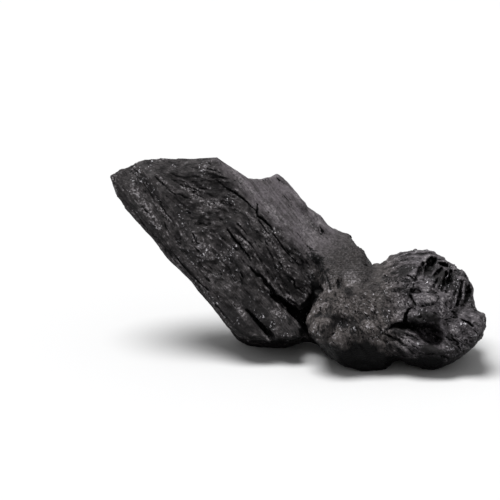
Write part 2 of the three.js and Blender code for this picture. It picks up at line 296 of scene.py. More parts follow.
# The billet, in its own axes: along the grain, across the face, and out of it

billet = {
    "middle": np.array([-42.5, 30, 54.9]),
    "along": unit([0.62, -0.3, -0.72]),
    "out": unit([0.004, -0.921, 0.389]),
    "outline": [
        (-63, -17), (-53, -20.3), (-46, -21.3), (-27, -20.3), (-12, -20.3), (5, -18.2), (17, -17.7),
        (33, -17.7), (40, -16.5), (45, -13.5), (51, -6.5), (54, -2), (58, 2.5), (60, 6.5), (57, 9.6),
        (48, 10.3), (36, 11), (49, 15), (49, 21), (46, 27), (37, 35), (45, 46), (48, 56), (34, 57.8),
        (27, 55), (17, 54.2), (10, 51.6), (-2, 52.2), (-8, 51.3), (-12.6, 49.8), (-13.4, 45),
        (-14.4, 41.5), (-18.7, 36), (-25, 33.8), (-36.4, 30.2), (-43.4, 19.7), (-53, 9), (-58.6, 0.4),
    ],
    "edgeRadius": 1.5,
    "thickness": 36,
    "skinReach": (-42, -10),  # how deep the face goes at its lowest, and how high the back comes
    "taper": (14, 0.15),  # how deep its sides start to lean in, and by how much
    "sideRib": ((16, 4.5), 0.9, 2.4),
    "sideFibres": (((15, 1.5), 0.55, 40), ((9, 0.8), 0.3, 41)),
    "sideGroove": ((24, 3.4), 1.3, 42, 0.18),
    "ends": ((-40, -50), (38, 46)),  # where the torn top and foot fade in
    "endTears": (((3.3, 3.6), 0.7, 43), ((1.1, 1.3), 0.3, 44)),
    "splinters": [  # both ends and their radii
        ((34, -10, -3), (52, -6.8, -1.5), (3.2, 0.7)),
        ((-11, 47.6, -15), (8, 48.5, -14), (0.7, 3.0)),
        ((22, 51, -16), (42, 53, -15), (1.4, 3.4)),
    ],
}
billet["across"] = np.cross(billet["out"], billet["along"])
billetAxes = np.array([billet["along"], billet["across"], billet["out"]])

face = {
    "flank": (27, 0.62),  # the smooth flank on the right: where it starts, and its slope
    "leftBevel": (-15.5, 0.95),
    "topFall": (-47, 0.42, 0.5),  # the top end: start, lean across and slope
    "setBack": ((6, 50), (10.5, 14), 7),  # the part right of the long crack, at the foot
    "swell": ((19, 7.5), 1.3, 3.1),
    "ripple": ((9, 3.8), 0.6, 7.7),
    "smoothPart": ((28, 36), 0.2),  # where the flank is smooth, and how much of the swells it keeps
    "smoothEdge": (29.5, 37, 0.16, -10),  # where the smooth flank starts across, and how that drifts along
    "edgeWaves": ((8, 4), 2.2, 20),
    "edgeFade": 4,
    "slant": ((-22, 10), 33),  # what the torn layers of the upper part turn about, and by how many degrees
    "slantPart": ((2, -14), (-6, 3), (31, 24)),  # where they fade in along, and in and out across
    "drift": (((9, 4), 3.0, 3), ((23, 10), 1.5, 1), ((6, 3.5), 0.5, 2)),  # slow waves that carry the fibres
    "lump": ((7.5, 2.8), 1.35, 5, 0.5),
    "crest": ((6.5, 2.1), 0.9, 6),
    "crestLevel": 0.4,  # taken off the crests, so that their mean stays near zero
    "chip": ((2.8, 1.4), 0.55, 8),
    "layers": (((24, 6), 2.6, 7), ((5, 1.8), 0.25, 10)),  # here the height is a count of layers
    "layerHeight": 0.75,
    "fibre": ((11, 0.95), 0.3, 9),
    "crumb": ((1.7, 1.2), 1.0, 18, 0.45),
    "crumbShare": (0.35, 0.9, 0.6),  # on rough parts, on pale patches, and how much of that the flank takes
    "strip": (-12, -14.5),  # where the strip on the left fades in across
    "top": (0.5, (-18, -36)),  # how the top part leans across, and where it fades in along
    "tongue": ((14, 30), (8, 3)),  # where the tongue between the long cracks fades in
    "calm": (0.7, 0.6, 0.7, 0.65),  # the lumps' loss at the top, the tongue, the strip and dark patches
    "layerLoss": 0.8,  # what the smooth flank takes off the layers
    "flankLines": (((30, 0.8), 0.14, 15), ((26, 4.5), 0.3, 19)),
    "flankGroove": ((30, 2.2), 0.45, 21, 0.1),
    "stripLine": ((40, 0.9), 0.45, 14),
    "stripGroove": ((34, 2), 0.6, 22, 0.12),
    "crackTear": (((2.8, 2.4), 0.7, 16), ((3.4, 2.2), 0.45, 17)),  # along and across
    "pale": [  # lighter patches, crumbling ones and painted highlights along the flank's top edge: centre, half sizes and slant in degrees
        ((-29, 9.5), (8, 3.2), 20), ((-20, 13), (6, 3), 38), ((-17, 7.4), (4.5, 1.2), 12),
        ((-27, 16.6), (3.4, 0.9), 30), ((-6, -4), (8, 3.6), 6), ((18, -1), (3.6, 1.3), 4),
        ((15, 24.3), (12, 1.7), 1), ((28, 23), (4.4, 1.5), 0), ((6, 13.4), (6.5, 1.3), 0),
        ((-18, 32.6), (14, 1.6), 3), ((2, 34.5), (9, 2.6), 3), ((43, 4.6), (5, 1.8), 28),
        ((42, 14.6), (6, 1.2), 0), ((-4, 24), (3, 1.2), 20), ((-38, -14), (16, 2.8), -4),
        ((21, 44), (13, 6), 0), ((3, 50.3), (3.2, 1.3), 0), ((17, 51.6), (7, 1.7), 3),
        ((-31, -8.6), (9, 1.2), 0), ((30, -9), (6, 1.4), 0), ((12, 36.8), (1.6, 1.0), 30),
        ((-44, 1.5), (5, 0.8), 4),
    ],
    "dull": [  # darker patches: dark, smooth torn facets, partly painted shade
        ((-24, 18.6), (7, 2.6), 22), ((-43, -5.4), (14, 1.6), 0), ((-26, -1), (6, 1.3), 18),
        ((3, 20.6), (6, 1.8), 4), ((20, 16.8), (5, 2), 0), ((-7, 14.5), (5, 1.2), 0),
        ((34, -13.5), (15, 3.4), 0), ((-31, -5.6), (8, 1.3), 0), ((-19, 3), (6, 1.2), 10),
        ((9, 4.5), (5, 2), 30), ((31, 5.6), (8, 1.4), 6), ((-3, -11), (8, 2), 0),
        ((38, -3), (12, 4.6), 0), ((14, 38), (1.8, 1.4), 0), ((36, 18.5), (9, 1.4), 2),
    ],
    "cracks": [  # path, half widths at start, middle and end, and depth
        (((-5, 11.6), (1, 11.1), (8, 11.4), (15.8, 11.1)), (0.28, 0.52, 0.35), 2.6),
        (
            ((16.2, 8), (20.4, 8.3), (25, 9.9), (33, 9.9), (35.4, 8.9), (44, 10.7), (52, 12.4)),
            (0.35, 1.5, 3.4), 12,
        ),
        (((-27, 22.4), (-20, 24.4), (-15.7, 26), (-9, 27.3), (-3, 28.2)), (0.25, 0.49, 0.28), 1.8),
        (((-5, 31), (-2.5, 28.8), (0, 27.3), (4.6, 28.9), (11.6, 29)), (0.35, 0.7, 0.35), 2.8),
        (((1, 26.4), (6, 25.9), (12, 26.4)), (0.25, 0.42, 0.25), 1.4),
        (((8.6, 28.2), (20, 27.6), (31.5, 28.5)), (0.25, 0.35, 0.25), 1.4),
        (((25.6, 38.2), (31.4, 38.5)), (0.25, 0.39, 0.25), 1.6),
        (((33, -6.3), (36, -5.9), (44, -5.6), (52, -5)), (0.5, 1.3, 2.6), 9),
        (((-11, 47.8), (-5, 48.4), (3.6, 49.2)), (0.4, 0.9, 0.4), 2.6),
        (((-34, 1.7), (-31.6, 4), (-26.5, 6.8)), (0.25, 0.42, 0.25), 1.3),
        (((-48, -0.5), (-40, 0.6), (-34, 2)), (0.25, 0.35, 0.28), 1),
        (((-36, -19.4), (-22, -18.6), (-9, -17.6)), (0.25, 0.32, 0.25), 1.1),
        (((-14, -16.9), (2, -16.4), (14, -15)), (0.25, 0.42, 0.25), 1.3),
        (((4, -17.4), (20, -16.4), (34, -16)), (0.25, 0.35, 0.25), 1.1),
        (((31, 20.6), (36, 21.6), (39.5, 20.2), (44, 22.6)), (0.25, 0.42, 0.28), 1.6),
        (((16.6, 3.2), (20.5, 2.2)), (0.25, 0.42, 0.25), 1.3),
        (((-37, -6), (-31, -7.4), (-25, -7.6)), (0.25, 0.35, 0.25), 1.2),
        (((-15, -3), (-9, -4.4)), (0.25, 0.35, 0.25), 1),
    ],
}

barkSide = {
    "middle": 14,
    "round": (6.5, 0.0093),
    "flare": ((5, 60), 14),
    "topThinning": (-38, 0.4),
    "rib": ((34, 7), 2.2, 11.3),
    "ripple": ((12, 5), 1.2, 5.2),
    "drift": (((8, 5), 1.5, 31), ((13, 7), 0.9, 30)),  # waves that carry its fibres along and across
    "fibre": ((12, 1.3), 0.35, 34),
    "check": ((2.6, 8), 0.9, 33, 0.2),  # the char's cross-checks
    "furrow": ((26, 3.6), 2.0, 32, 0.16),
}


def flankShare(s, t):  # 1 on the smooth flank, past an edge that drifts across as it runs to the foot
    low, high, drift, start = face["smoothEdge"]
    edge = np.minimum(low + drift * ramp(s - start), high) + rippled(s, t, face["edgeWaves"])
    return smoothStep(t - edge, -face["edgeFade"], face["edgeFade"])


def slantShare(s, t):  # 1 on the upper part of the split, where its layers are torn on a slant
    along, into, outOf = face["slantPart"]
    return smoothStep(s, *along) * smoothStep(t, *into) * smoothStep(t, *outOf)


def slantPlace(s, t):  # the place in axes turned about the upper part
    middle, degrees = face["slant"]
    return turned(s - middle[0], t - middle[1], degrees)


def tornLayers(s, t):
    # Lumps with gaps between them, crests and chips, then stepped layers, then fibres, on a grain that slow
    # waves carry to and fro.
    carryS, carryT, carrySmall = face["drift"]
    grainS = s + rippled(s, t, carryS)
    grainT = t + rippled(s, t, carryT) + rippled(s, t, carrySmall)
    size, high, seed = face["crest"]
    lumps = lumped(grainS, grainT, face["lump"])
    lumps = lumps + high * (crested(stretched(grainS, grainT, size, seed)) - face["crestLevel"])
    lumps = lumps + rippled(grainS, grainT, face["chip"])
    broad, small = face["layers"]
    level = rippled(grainS, grainT, broad) + rippled(grainS, grainT, small)
    return lumps, face["layerHeight"] * stepped(level), rippled(grainS, grainT, face["fibre"])


def tornRelief(s, t):  # the fine relief of the split: each part of the face keeps its own share of it
    slant = slantShare(s, t)
    straight, slanted = tornLayers(s, t), tornLayers(*slantPlace(s, t))
    lumps, layers, fibres = (mix(a, b, slant) for a, b in zip(straight, slanted))
    flank = flankShare(s, t)
    strip = smoothStep(t, *face["strip"])
    lean, run = face["top"]
    top = smoothStep(s + lean * t, *run)
    along, across = face["tongue"]
    tongue = smoothStep(s, *along) * smoothStep(t, *across)
    pale, dull = patchShare(s, t, face["pale"]), patchShare(s, t, face["dull"])
    topLoss, tongueLoss, stripLoss, dullLoss = face["calm"]
    rough = (1 - topLoss * top) * (1 - tongueLoss * tongue) * (1 - stripLoss * strip)
    rough = rough * (1 - flank) * (1 - dullLoss * dull)
    onRough, onPale, flankLoss = face["crumbShare"]
    crumbly = np.maximum(onRough * rough, onPale * pale * (1 - flankLoss * flank))
    crumbs = lumped(s, t, face["crumb"]) * crumbly
    fineLine, broadLine = face["flankLines"]
    lines = rippled(s, t, fineLine) + rippled(s, t, broadLine) - furrowed(s, t, face["flankGroove"])
    stripLayers = (rippled(s, t, face["stripLine"]) - furrowed(s, t, face["stripGroove"])) * strip
    layers = layers * (1 - face["layerLoss"] * flank) * (1 - strip)
    return lumps * rough + crumbs + layers + mix(fibres, lines, flank) + stripLayers


def ragged(s, t):  # the place shifted to and fro, so that a crack's sides are torn
    along, across = face["crackTear"]
    return s + rippled(s, t, along), t + rippled(s, t, across)


def faceHeight(s, t):  # the face's broad falls, its swells and its torn relief, less its cracks
    flank = ramp(t - face["flank"][0]) * face["flank"][1]
    leftBevel = ramp(face["leftBevel"][0] - t) * face["leftBevel"][1]
    topFall = ramp(face["topFall"][0] + face["topFall"][1] * t - s) * face["topFall"][2]
    alongRange, acrossRange, depth = face["setBack"]
    setBack = smoothStep(s, *alongRange) * smoothStep(t, *acrossRange) * depth
    broad = grainSwell(s, t, face["swell"]) + grainSwell(s, t, face["ripple"])
    keep = mix(1, face["smoothPart"][1], smoothStep(t, *face["smoothPart"][0]))
    ragS, ragT = ragged(s, t)
    cracks = sum(crackDepth(ragS, ragT, crack) for crack in face["cracks"])
    return broad * keep + tornRelief(s, t) - flank - leftBevel - topFall - setBack - cracks


def backHeight(s, t):  # the trunk's round, thicker at the foot, with long ribs, furrows and cross-checks
    roundHeight, fall = barkSide["round"]
    bulge = roundHeight - fall * (t - barkSide["middle"]) ** 2
    flare = smoothStep(s, *barkSide["flare"][0]) * barkSide["flare"][1]
    ribs = barkSide["rib"][1] - 2 * np.abs(grainSwell(s, t, barkSide["rib"]))
    ripples = grainSwell(s, t, barkSide["ripple"])
    thinning = ramp(barkSide["topThinning"][0] - s) * barkSide["topThinning"][1]
    carryS, carryT = barkSide["drift"]
    grainS, grainT = s + rippled(s, t, carryS), t + rippled(s, t, carryT)
    furrows, checks = (furrowed(grainS, grainT, barkSide[name]) for name in ("furrow", "check"))
    fibres = rippled(grainS, grainT, barkSide["fibre"])
    return thinning - billet["thickness"] - bulge - flare - ribs - ripples - fibres + furrows + checks


def billetDistance(s, t, n):  # what is inside the outline, under the face and over the back
    lean = ramp(-n - billet["taper"][0]) * billet["taper"][1]
    edge = outlineDistance(s, t, billet["outline"]) + lean + grainSwell(s, n, billet["sideRib"])
    coarse, fine = billet["sideFibres"]
    edge += rippled(s, n, coarse) + rippled(s, n, fine)
    edge += furrowed(s, n, billet["sideGroove"])
    top, foot = billet["ends"]
    coarse, fine = billet["endTears"]
    ends = np.maximum(smoothStep(s, *top), smoothStep(s, *foot))
    edge += (rippled(t, n, coarse) + rippled(t, n, fine)) * ends
    deepest, highest = billet["skinReach"]
    front = worked(n > deepest, faceHeight, (s, t))
    rear = worked(n < highest, backHeight, (s, t), 2 * deepest)
    return meet(edge, meet(n - front, rear - n, billet["edgeRadius"]), billet["edgeRadius"])


def bladeDistance(place, blade):  # distance to a straight stretch, less a radius that changes along it
    start, end, radii = np.array(blade[0], float), np.array(blade[1], float), blade[2]
    run = end - start
    share = np.clip((place - start) @ run / (run @ run), 0, 1)
    return np.linalg.norm(place - start - share[:, None] * run, axis=1) - mix(*radii, share)


# The knot, in the front view: x, height in the view, and depth away from it

frontViewTilt = math.radians(16)  # how far down the front view looks

knot = {
    "outline": [
        (37, 53.8), (46, 56.7), (60.5, 60.7), (64.5, 61.3), (70, 58.2), (77.5, 53.8), (82.3, 49.5),
        (84.8, 41), (85.6, 31), (89.5, 29.3), (90.3, 23.5), (88.8, 17.3), (82, 10.2), (75, 5.4),
        (70, 3), (63, 2.2), (52, 4.9), (47, 5.2), (43, 0.8), (36, -0.3), (29, 1), (20, 5.3),
        (14.5, 10.5), (9, 16.2), (5, 21), (4.6, 25), (9, 38.5), (11.3, 41), (8, 53.5), (0, 66),
        (4, 78), (15, 72), (24, 68), (30, 62.2),
    ],
    "edgeRadius": 9,
    "front": (-8, 14, 0.0135),  # its lowest depth, the height it leans back from, and the bend
    "frontReach": 34,  # how far behind that its gaps and undercut go at most
    "undercut": (15, 0.065),  # how high its underside starts, and how fast it runs back
    "back": (36, 0.0055, 0.0035),  # its lowest depth, and its bend behind the shoulder and the head
    "head": (38, 58),  # where the shoulder turns into the head, in x
    "burls": ((13, 1.8), (6.5, 1.0)),  # size and height
    "clods": ((4.4, 0.9, 2.3), (2.2, 0.5, 6.1), (1.2, 0.3, 9.4)),  # size, height and seed
    "clodsOnFelt": (0.15, (36, 26)),  # the share that stays, and from what depth to what depth
    "clodsInFront": (0.5, (16, 6)),
    "fan": (8, 62),  # where the shoulder's fibres spread from
    "ring": (61, 24),  # what the head's layers curve round
    "turnRadius": 30,  # how many mm along the fibres one radian counts as
    "headEdge": (0.9, 54, 36, 42),  # the line from shoulder to head: lean, a height on it, its reach in x
    "shell": (25, 29),  # how far from the ring's middle the head's outer layers start
    "lipEdge": (0.1, 50, 22.5, 19.5),  # the line between head and lip: lean, an x on it, its reach in height
    "lipStart": (38, 43),
    "slotSlant": 62,  # how steep the slots are, in degrees
    "lipSlant": -38,
    "slotFade": 2.5,
    "strength": (0.9, 2.1, 1.3),  # of the fibres on the head's layers, among the slots and on the lip
    "fibreSeeds": (50, 55, 60, 65),  # of the shoulder's fibres and these
    "fibres": {
        "bend": ((5, 8), 0.7), "bundle": ((1.6, 11), 0.7), "thread": ((0.85, 6), 0.4),
        "gap": ((3.2, 11), 0.9),
    },
    "gapWidth": 0.28,
    "felt": (0.35, 20, (38, 54), (44, 34)),  # its lean, an x on its edge, its reach in height and in x
    "feltWaves": ((9, 9), 3, 96),
    "onFelt": (0.12, 0.8),  # the share of the fibres that stays, and of the crumbs that goes
    "crumb": ((1.7, 1.5), 0.9, 67, 0.45),
    "crumbShare": (0.35, 0.65),  # everywhere, and on top of that on pale patches
    "plates": ((40, 46), (72, 66), (26, 31), (50, 44)),  # where they fade in and out in x and in height
    "plateSteps": (((8, 5.5), 2.2, 65), ((3, 2.4), 0.5, 66)),  # here the height is a count of plates
    "plateHeight": 0.8,
    "onPlates": 0.5,  # the share of the fibres that stays there
    "dullLoss": 0.7,
    "tear": (((3.1, 3.4), 0.5, 70), ((1.4, 1.6), 0.25, 71), ((3.3, 3), 0.5, 72)),  # two in x, one in height
    "slotPart": [(61, 57), (70, 58), (78, 54), (86, 46), (87, 33), (76, 32), (68, 40), (58, 46)],
    "hollow": {
        "outline": [
            (40.5, 21.2), (44, 25), (50, 26.4), (60, 25.4), (66, 25.2), (69.8, 21), (70.4, 17), (68, 13),
            (64, 13.2), (60.5, 14.8), (57.5, 18.4), (55, 20.6), (51, 21.4), (46, 22.8),
        ],
        "depth": 13,
        "run": (-0.4, 3.2),  # from where to where, inside the outline, it gets deeper
    },
    "forms": [  # centre, half sizes, lean and height
        ((20, 24), (17, 24), 0, 4.5), ((64, 41), (19, 15), -0.15, 8), ((83, 22), (9, 13), 0, 5),
        ((64, 10), (22, 8), -0.18, 5.2), ((37, 54), (7, 9), 0, -3), ((46, 6), (7, 9), 0, -6),
        ((19.3, 43.6), (2, 4.4), 0, -3.4), ((19, 25.6), (5.5, 5), 0, -3),
        ((30, 46.5), (3, 3), 0, 1.0), ((47, 43), (6, 6), 0, 1.4), ((48, 40.6), (5, 2), 0, -1.6),
    ],
    "nodules": [  # the same for round caps with sharp feet, of which the highest shows
        ((10.2, 23.6), (5.8, 6), 0, 4.6), ((18.6, 16.4), (5.2, 4.8), 0, 3.8),
        ((33.4, 22.2), (5.6, 5), 0, 3.2), ((26.4, 20), (3.6, 5.5), 0, 1.6),
        ((7.6, 32.6), (2.3, 5), 0.3, 1.9), ((11, 33), (1.7, 5), 0, 1.7), ((35, 32.6), (2, 4.2), 0, 1),
        ((36.6, 14.6), (5.4, 4.2), 0, 1.3), ((41.8, 29), (5, 9), -0.4, 1.2),
        ((59.5, 28.2), (8.6, 2.9), -0.06, 2), ((60.5, 37.3), (6.4, 2.6), 0.02, 1.3),
        ((56.6, 50), (2, 4.4), 0.9, 1.2), ((63.4, 56.6), (4.4, 2.7), 0.25, 2),
        ((78.6, 47.6), (3.6, 1.4), -0.2, 1.8), ((75.2, 45.4), (1.6, 1.4), 0, 1.3),
        ((69, 33), (1.7, 8), 0, 1.5), ((72.5, 38.2), (2.6, 2.2), 0, 1.3),
        ((80.4, 27), (2.6, 1), -0.6, 1.4), ((76.4, 31.4), (2.8, 2), 0, 1.3),
        ((86.8, 22.6), (2.2, 2.8), 0, 1.4), ((75, 22.6), (4, 3.4), 0, 1.2),
    ],
    "ridges": [  # path, half widths at start, middle and end, and height
        (((13.4, 43.5), (13.9, 38), (13.2, 30.4)), (1.03, 1.38, 1.15), 0.85),
        (((15.5, 38), (15.2, 31.4)), (0.46, 0.8, 0.69), 0.65),
        (((17.7, 38.4), (17.6, 34), (18.6, 30)), (0.69, 1.03, 0.92), 0.85),
        (((20.8, 38.4), (20.4, 34), (21.2, 29.6), (23.4, 26.4)), (0.69, 1.03, 0.92), 0.91),
        (((22.6, 38), (24.6, 32.5), (25.6, 27)), (0.57, 0.92, 0.69), 0.78),
        (((25.4, 37.5), (28.4, 30.6)), (0.57, 0.92, 0.57), 0.72),
        (((29, 38), (33, 29.5)), (0.57, 1.03, 0.57), 0.65),
        (((41, 21.2), (47, 20.2), (52, 16.8), (58, 13.4), (66, 11.6), (72, 11.4)), (1.3, 2.6, 1.4), 1.7),
        (((60, 59.6), (64, 60.4), (67.4, 59.4)), (0.5, 0.8, 0.5), 1.2),
        (((62.6, 46.8), (64.4, 41.4)), (0.5, 0.9, 0.6), 1.2),
        (((69.4, 51), (66.8, 45.6), (65.8, 41)), (0.5, 0.9, 0.6), 1.4),
        (((77.8, 45), (76.6, 39), (75, 34.6)), (0.5, 0.9, 0.6), 1.4),
        (((80.6, 45), (79.9, 40), (78.9, 34.4)), (0.5, 0.8, 0.6), 1.5),
        (((84.4, 45.4), (85, 40), (84.8, 34)), (0.6, 0.9, 0.6), 1.2),
        (((72, 19.5), (77, 17.4), (82, 14.6)), (0.6, 1.1, 0.7), 1.2),
        (((72, 15.4), (78, 11.6)), (0.6, 1.1, 0.7), 1.1),
    ],
    "cracks": [  # the same, with a depth
        (((25, 31.8), (28.8, 29.4)), (0.22, 0.45, 0.22), 0.8),
        (((14.6, 28), (15.3, 21.4), (12.4, 17.6)), (0.22, 0.34, 0.22), 0.6),
        (((36.2, 37.6), (36.9, 30.8)), (0.22, 0.34, 0.22), 0.8),
        (((35.2, 28.2), (37.4, 23), (40.4, 20.4)), (0.22, 0.31, 0.25), 1),
        (((41.6, 20), (45, 17.8)), (0.22, 0.42, 0.28), 1.6),
        (((39, 17.2), (41.6, 16)), (0.22, 0.35, 0.22), 1.3),
        (((31.4, 53.8), (34, 52.4)), (0.28, 0.49, 0.28), 1.8),
        (((33.7, 49.6), (33.6, 47.4), (32.6, 45.8), (30.8, 45)), (0.28, 0.63, 0.28), 1.3),
        (((41.4, 48.4), (42.6, 47.6)), (0.28, 0.49, 0.28), 1.4),
        (((44, 47.8), (46, 47.6)), (0.22, 0.28, 0.22), 1),
        (((52.8, 48.4), (55.8, 46.2)), (0.35, 0.42, 0.42), 2.4),
        (((60.8, 54.2), (59.2, 50.6), (56.2, 46.4)), (1.22, 1.89, 0.68), 7.7),
        (((55.8, 46.2), (55.2, 42), (55, 40.6)), (0.35, 0.42, 0.42), 3.2),
        (((55, 41), (59.3, 40.3)), (1.62, 1.35, 0.41), 5.5),
        (((53.8, 39), (54.5, 37.2), (56.4, 34), (56, 32.4)), (0.63, 0.42, 0.28), 3.2),
        (((53, 32), (51.2, 29), (51, 26)), (0.54, 1.08, 1.22), 5.5),
        (((65.8, 56), (63, 51), (61, 47.2)), (2.43, 2.97, 0.68), 9.9),
        (((70.5, 52), (67.8, 49.8), (65.8, 48)), (0.68, 1.35, 0.68), 6.6),
        (((67.4, 46.8), (64.9, 43)), (0.68, 1.35, 0.54), 6.1),
        (((69.4, 44.8), (67, 41.8)), (0.28, 0.49, 0.28), 2.8),
        (((72, 50), (70.8, 45), (69.2, 41)), (1.08, 1.76, 0.94), 8.8),
        (((74.6, 50.4), (73.2, 45.5), (71, 40.4)), (0.81, 1.89, 0.81), 11),
        (((79.6, 45), (78.2, 39.5), (76.3, 34.2)), (0.54, 1.22, 0.81), 7.7),
        (((82.4, 45.6), (82.3, 40), (80.8, 35.6)), (1, 2.3, 1.2), 8.5),
        (((82.2, 49.4), (82.5, 46.4)), (0.81, 1.08, 0.68), 7.7),
        (((69.5, 54), (73, 53)), (0.81, 1.62, 1.08), 6.6),
        (((77, 50.6), (79.6, 51.2)), (1.08, 1.89, 1.08), 6.6),
        (((77.2, 53.4), (78.4, 53)), (0.28, 0.42, 0.28), 2),
        (((59, 33.6), (61.5, 34), (64.6, 34.6)), (0.42, 0.56, 0.28), 3.6),
        (((74, 30.8), (75.4, 30)), (0.28, 0.56, 0.28), 2.4),
        (((72.8, 28.3), (76.4, 28.2)), (0.24, 0.35, 0.24), 1.6),
        (((78.4, 27), (81, 25.6), (83.4, 23.8)), (0.24, 0.49, 0.56), 3.2),
        (((66.4, 24.4), (67.8, 22.8)), (0.35, 0.63, 0.35), 2.4),
        (((79.4, 17), (83, 13.2)), (0.28, 0.56, 0.35), 2.4),
        (((75.6, 14.8), (78, 12.4)), (0.28, 0.49, 0.28), 1.9),
        (((61, 10.4), (66.4, 10.2)), (0.28, 0.42, 0.28), 1.6),
        (((68, 9.6), (72, 8.2)), (0.35, 0.63, 0.35), 2.4),
        (((60, 58.8), (63, 59.4), (66, 59.2)), (0.28, 0.42, 0.28), 1.6),
        (((46, 50.6), (52, 53.4)), (0.22, 0.35, 0.22), 1.1),
        (((51, 55.4), (58, 57.6)), (0.22, 0.35, 0.22), 1.1),
    ],
    "pale": [  # lighter patches, mostly painted highlight on nodule and ridge tops, some flaking: centre, half sizes and slant in degrees
        ((25, 47.5), (5, 3.6), -30), ((13.8, 41), (1.2, 3), -85), ((21.4, 29), (1, 2.6), -60),
        ((27.2, 36.8), (1.2, 0.7), -45), ((24.2, 35), (0.8, 3), -68), ((23, 43.8), (1.2, 1.2), 0),
        ((33.2, 23.2), (4, 3), 0), ((48.5, 36), (6, 3.2), -30), ((43.6, 39), (1.2, 0.8), 0),
        ((60.6, 37.4), (6, 2.2), 2), ((63.4, 56.4), (4, 2.2), 15), ((75, 45.4), (1.4, 1.2), 0),
        ((78.6, 47.4), (3.2, 1), -10), ((69.2, 31), (1.2, 8), 0), ((50.4, 17.2), (4.5, 1.8), -35),
        ((86.8, 22.8), (1.4, 1.2), 0), ((61.6, 42.4), (3, 1.4), 0), ((79.6, 40), (4.6, 0.7), 82),
        ((72.4, 38), (2, 1.6), 0), ((47, 28.6), (3.4, 2), -30), ((44, 56), (9, 1.2), 16),
        ((35, 32.6), (1.4, 3.4), 0), ((75.6, 22), (3.4, 2.4), 0), ((55.6, 50.4), (2.6, 1.2), 55),
    ],
    # darker patches: dull facets, and painted shade in the dip under the ridges, among the slots and under
    # the overhanging plate
    "dull": [
        ((19, 25.4), (5, 3.8), 0), ((59, 27.8), (9, 3), 0), ((19.3, 43.8), (1.2, 2.6), 0),
        ((50, 41.4), (4.6, 1.6), 0), ((68, 49), (9, 5), -30), ((82, 41), (3.6, 7), 0),
        ((75, 45), (4, 6), 0), ((64, 12), (13, 2.6), -16), ((76, 12), (6, 3), -30),
        ((12, 29), (7, 1.4), 0), ((25, 24), (2, 6), 0), ((47, 22), (6, 2), -20), ((51, 51), (8, 3.2), 15),
    ],
    "undersideShade": [  # painted shade: the underside, turned black, in the front view
        (3, 18), (9, 17), (15, 15.4), (21, 13), (24.5, 16), (30, 17), (34, 16), (38, 13.4), (42, 10.4),
        (46, 9.2), (52, 8.4), (57, 9.4), (61, 10.2), (66, 10.2), (69, 9.3), (72, 7), (76, 7), (80, 9),
        (84, 11), (95, 14), (95, -15), (3, -15),
    ],
}

heels = [  # root heels under the back: centre, half sizes and how far each melts into the rest
    (np.array([34, 46, 12]), np.array([26, 17, 18]), 14),
    (np.array([-10, 53, 8]), np.array([22, 13, 13]), 12),
    (np.array([8, 42, 36]), np.array([9, 9, 13]), 5),
]


def fanPlace(x, height):  # run and turn about the point that the shoulder's fibres spread from, both in mm
    across, down = x - knot["fan"][0], knot["fan"][1] - height
    return np.hypot(across, down), np.arctan2(across, down) * knot["turnRadius"]


def ringPlace(x, height):  # the run round the middle of the head's layers, and the distance from it, in mm
    across, up = x - knot["ring"][0], height - knot["ring"][1]
    return np.arctan2(across, up) * knot["turnRadius"], np.hypot(across, up)


def fibreParts(x, height):
    # Where the fibres run another way than the shoulder's: each part's place along and across its fibres,
    # and its share, in the order in which a later part covers an earlier one.
    lean, level, low, high = knot["headEdge"]
    head = smoothStep(x + lean * (height - level), low, high)
    radius = ringPlace(x, height)[1]
    fade = knot["slotFade"]
    slots = smoothStep(-outlineDistance(x, height, knot["slotPart"]), -fade, fade)
    lean, level, low, high = knot["lipEdge"]
    lip = smoothStep(height + lean * (x - level), low, high) * smoothStep(x, *knot["lipStart"])
    return (
        (ringPlace(x, height), head * smoothStep(radius, *knot["shell"])),
        (turned(x, height, knot["slotSlant"]), slots),
        (turned(x, height, knot["lipSlant"]), lip),
    )


def fibrous(along, across, seed):  # bundles and threads that lie along the flow, with gaps between bundles
    bend, bundle, thread, gap = ((*relief, seed + n) for n, relief in enumerate(knot["fibres"].values()))
    bent = across + rippled(across, along, bend)
    bundles = rippled(bent, along, bundle) + rippled(bent, along, thread)
    return bundles - furrowed(bent, along, (*gap, knot["gapWidth"]))


def feltShare(x, height):  # 1 on the felted neck, where the flank runs out into the shoulder
    lean, middle, rise, fall = knot["felt"]
    edge = height + lean * (x - middle) + rippled(x, height, knot["feltWaves"])
    return smoothStep(edge, *rise) * smoothStep(x, *fall)


def knotRelief(x, height):
    # The fibres of each part along its own flow, less on felt and plates, crumbs that are higher on its pale
    # patches, both fainter on dark patches, and the stepped plates.
    felt = feltShare(x, height)
    fibresLeft, crumbLoss = knot["onFelt"]
    relief = fibrous(*fanPlace(x, height), knot["fibreSeeds"][0]) * mix(1, fibresLeft, felt)
    parts = zip(fibreParts(x, height), knot["strength"], knot["fibreSeeds"][1:])
    for (place, share), strength, seed in parts:
        relief = mix(relief, strength * fibrous(*place, seed), share)
    pale, dull = patchShare(x, height, knot["pale"]), patchShare(x, height, knot["dull"])
    everywhere, onPale = knot["crumbShare"]
    crumbs = lumped(x, height, knot["crumb"]) * (everywhere + onPale * pale)
    left, right, low, high = knot["plates"]
    plated = smoothStep(x, *left) * smoothStep(x, *right)
    plated = plated * smoothStep(height, *low) * smoothStep(height, *high)
    broad, small = knot["plateSteps"]
    plates = knot["plateHeight"] * stepped(rippled(x, height, broad) + rippled(x, height, small)) * plated
    relief = relief * mix(1, knot["onPlates"], plated) + crumbs * (1 - crumbLoss * felt)
    return relief * (1 - knot["dullLoss"] * dull) + plates


def hollowDepth(x, height):  # as deep as its depth, a run inside its outline
    edge = outlineDistance(x, height, knot["hollow"]["outline"])
    return smoothStep(-edge, *knot["hollow"]["run"]) * knot["hollow"]["depth"]


def frontView(y, z):  # height in the front view and depth away from it
    return (
        y * math.sin(frontViewTilt) + z * math.cos(frontViewTilt),
        y * math.cos(frontViewTilt) - z * math.sin(frontViewTilt),
    )


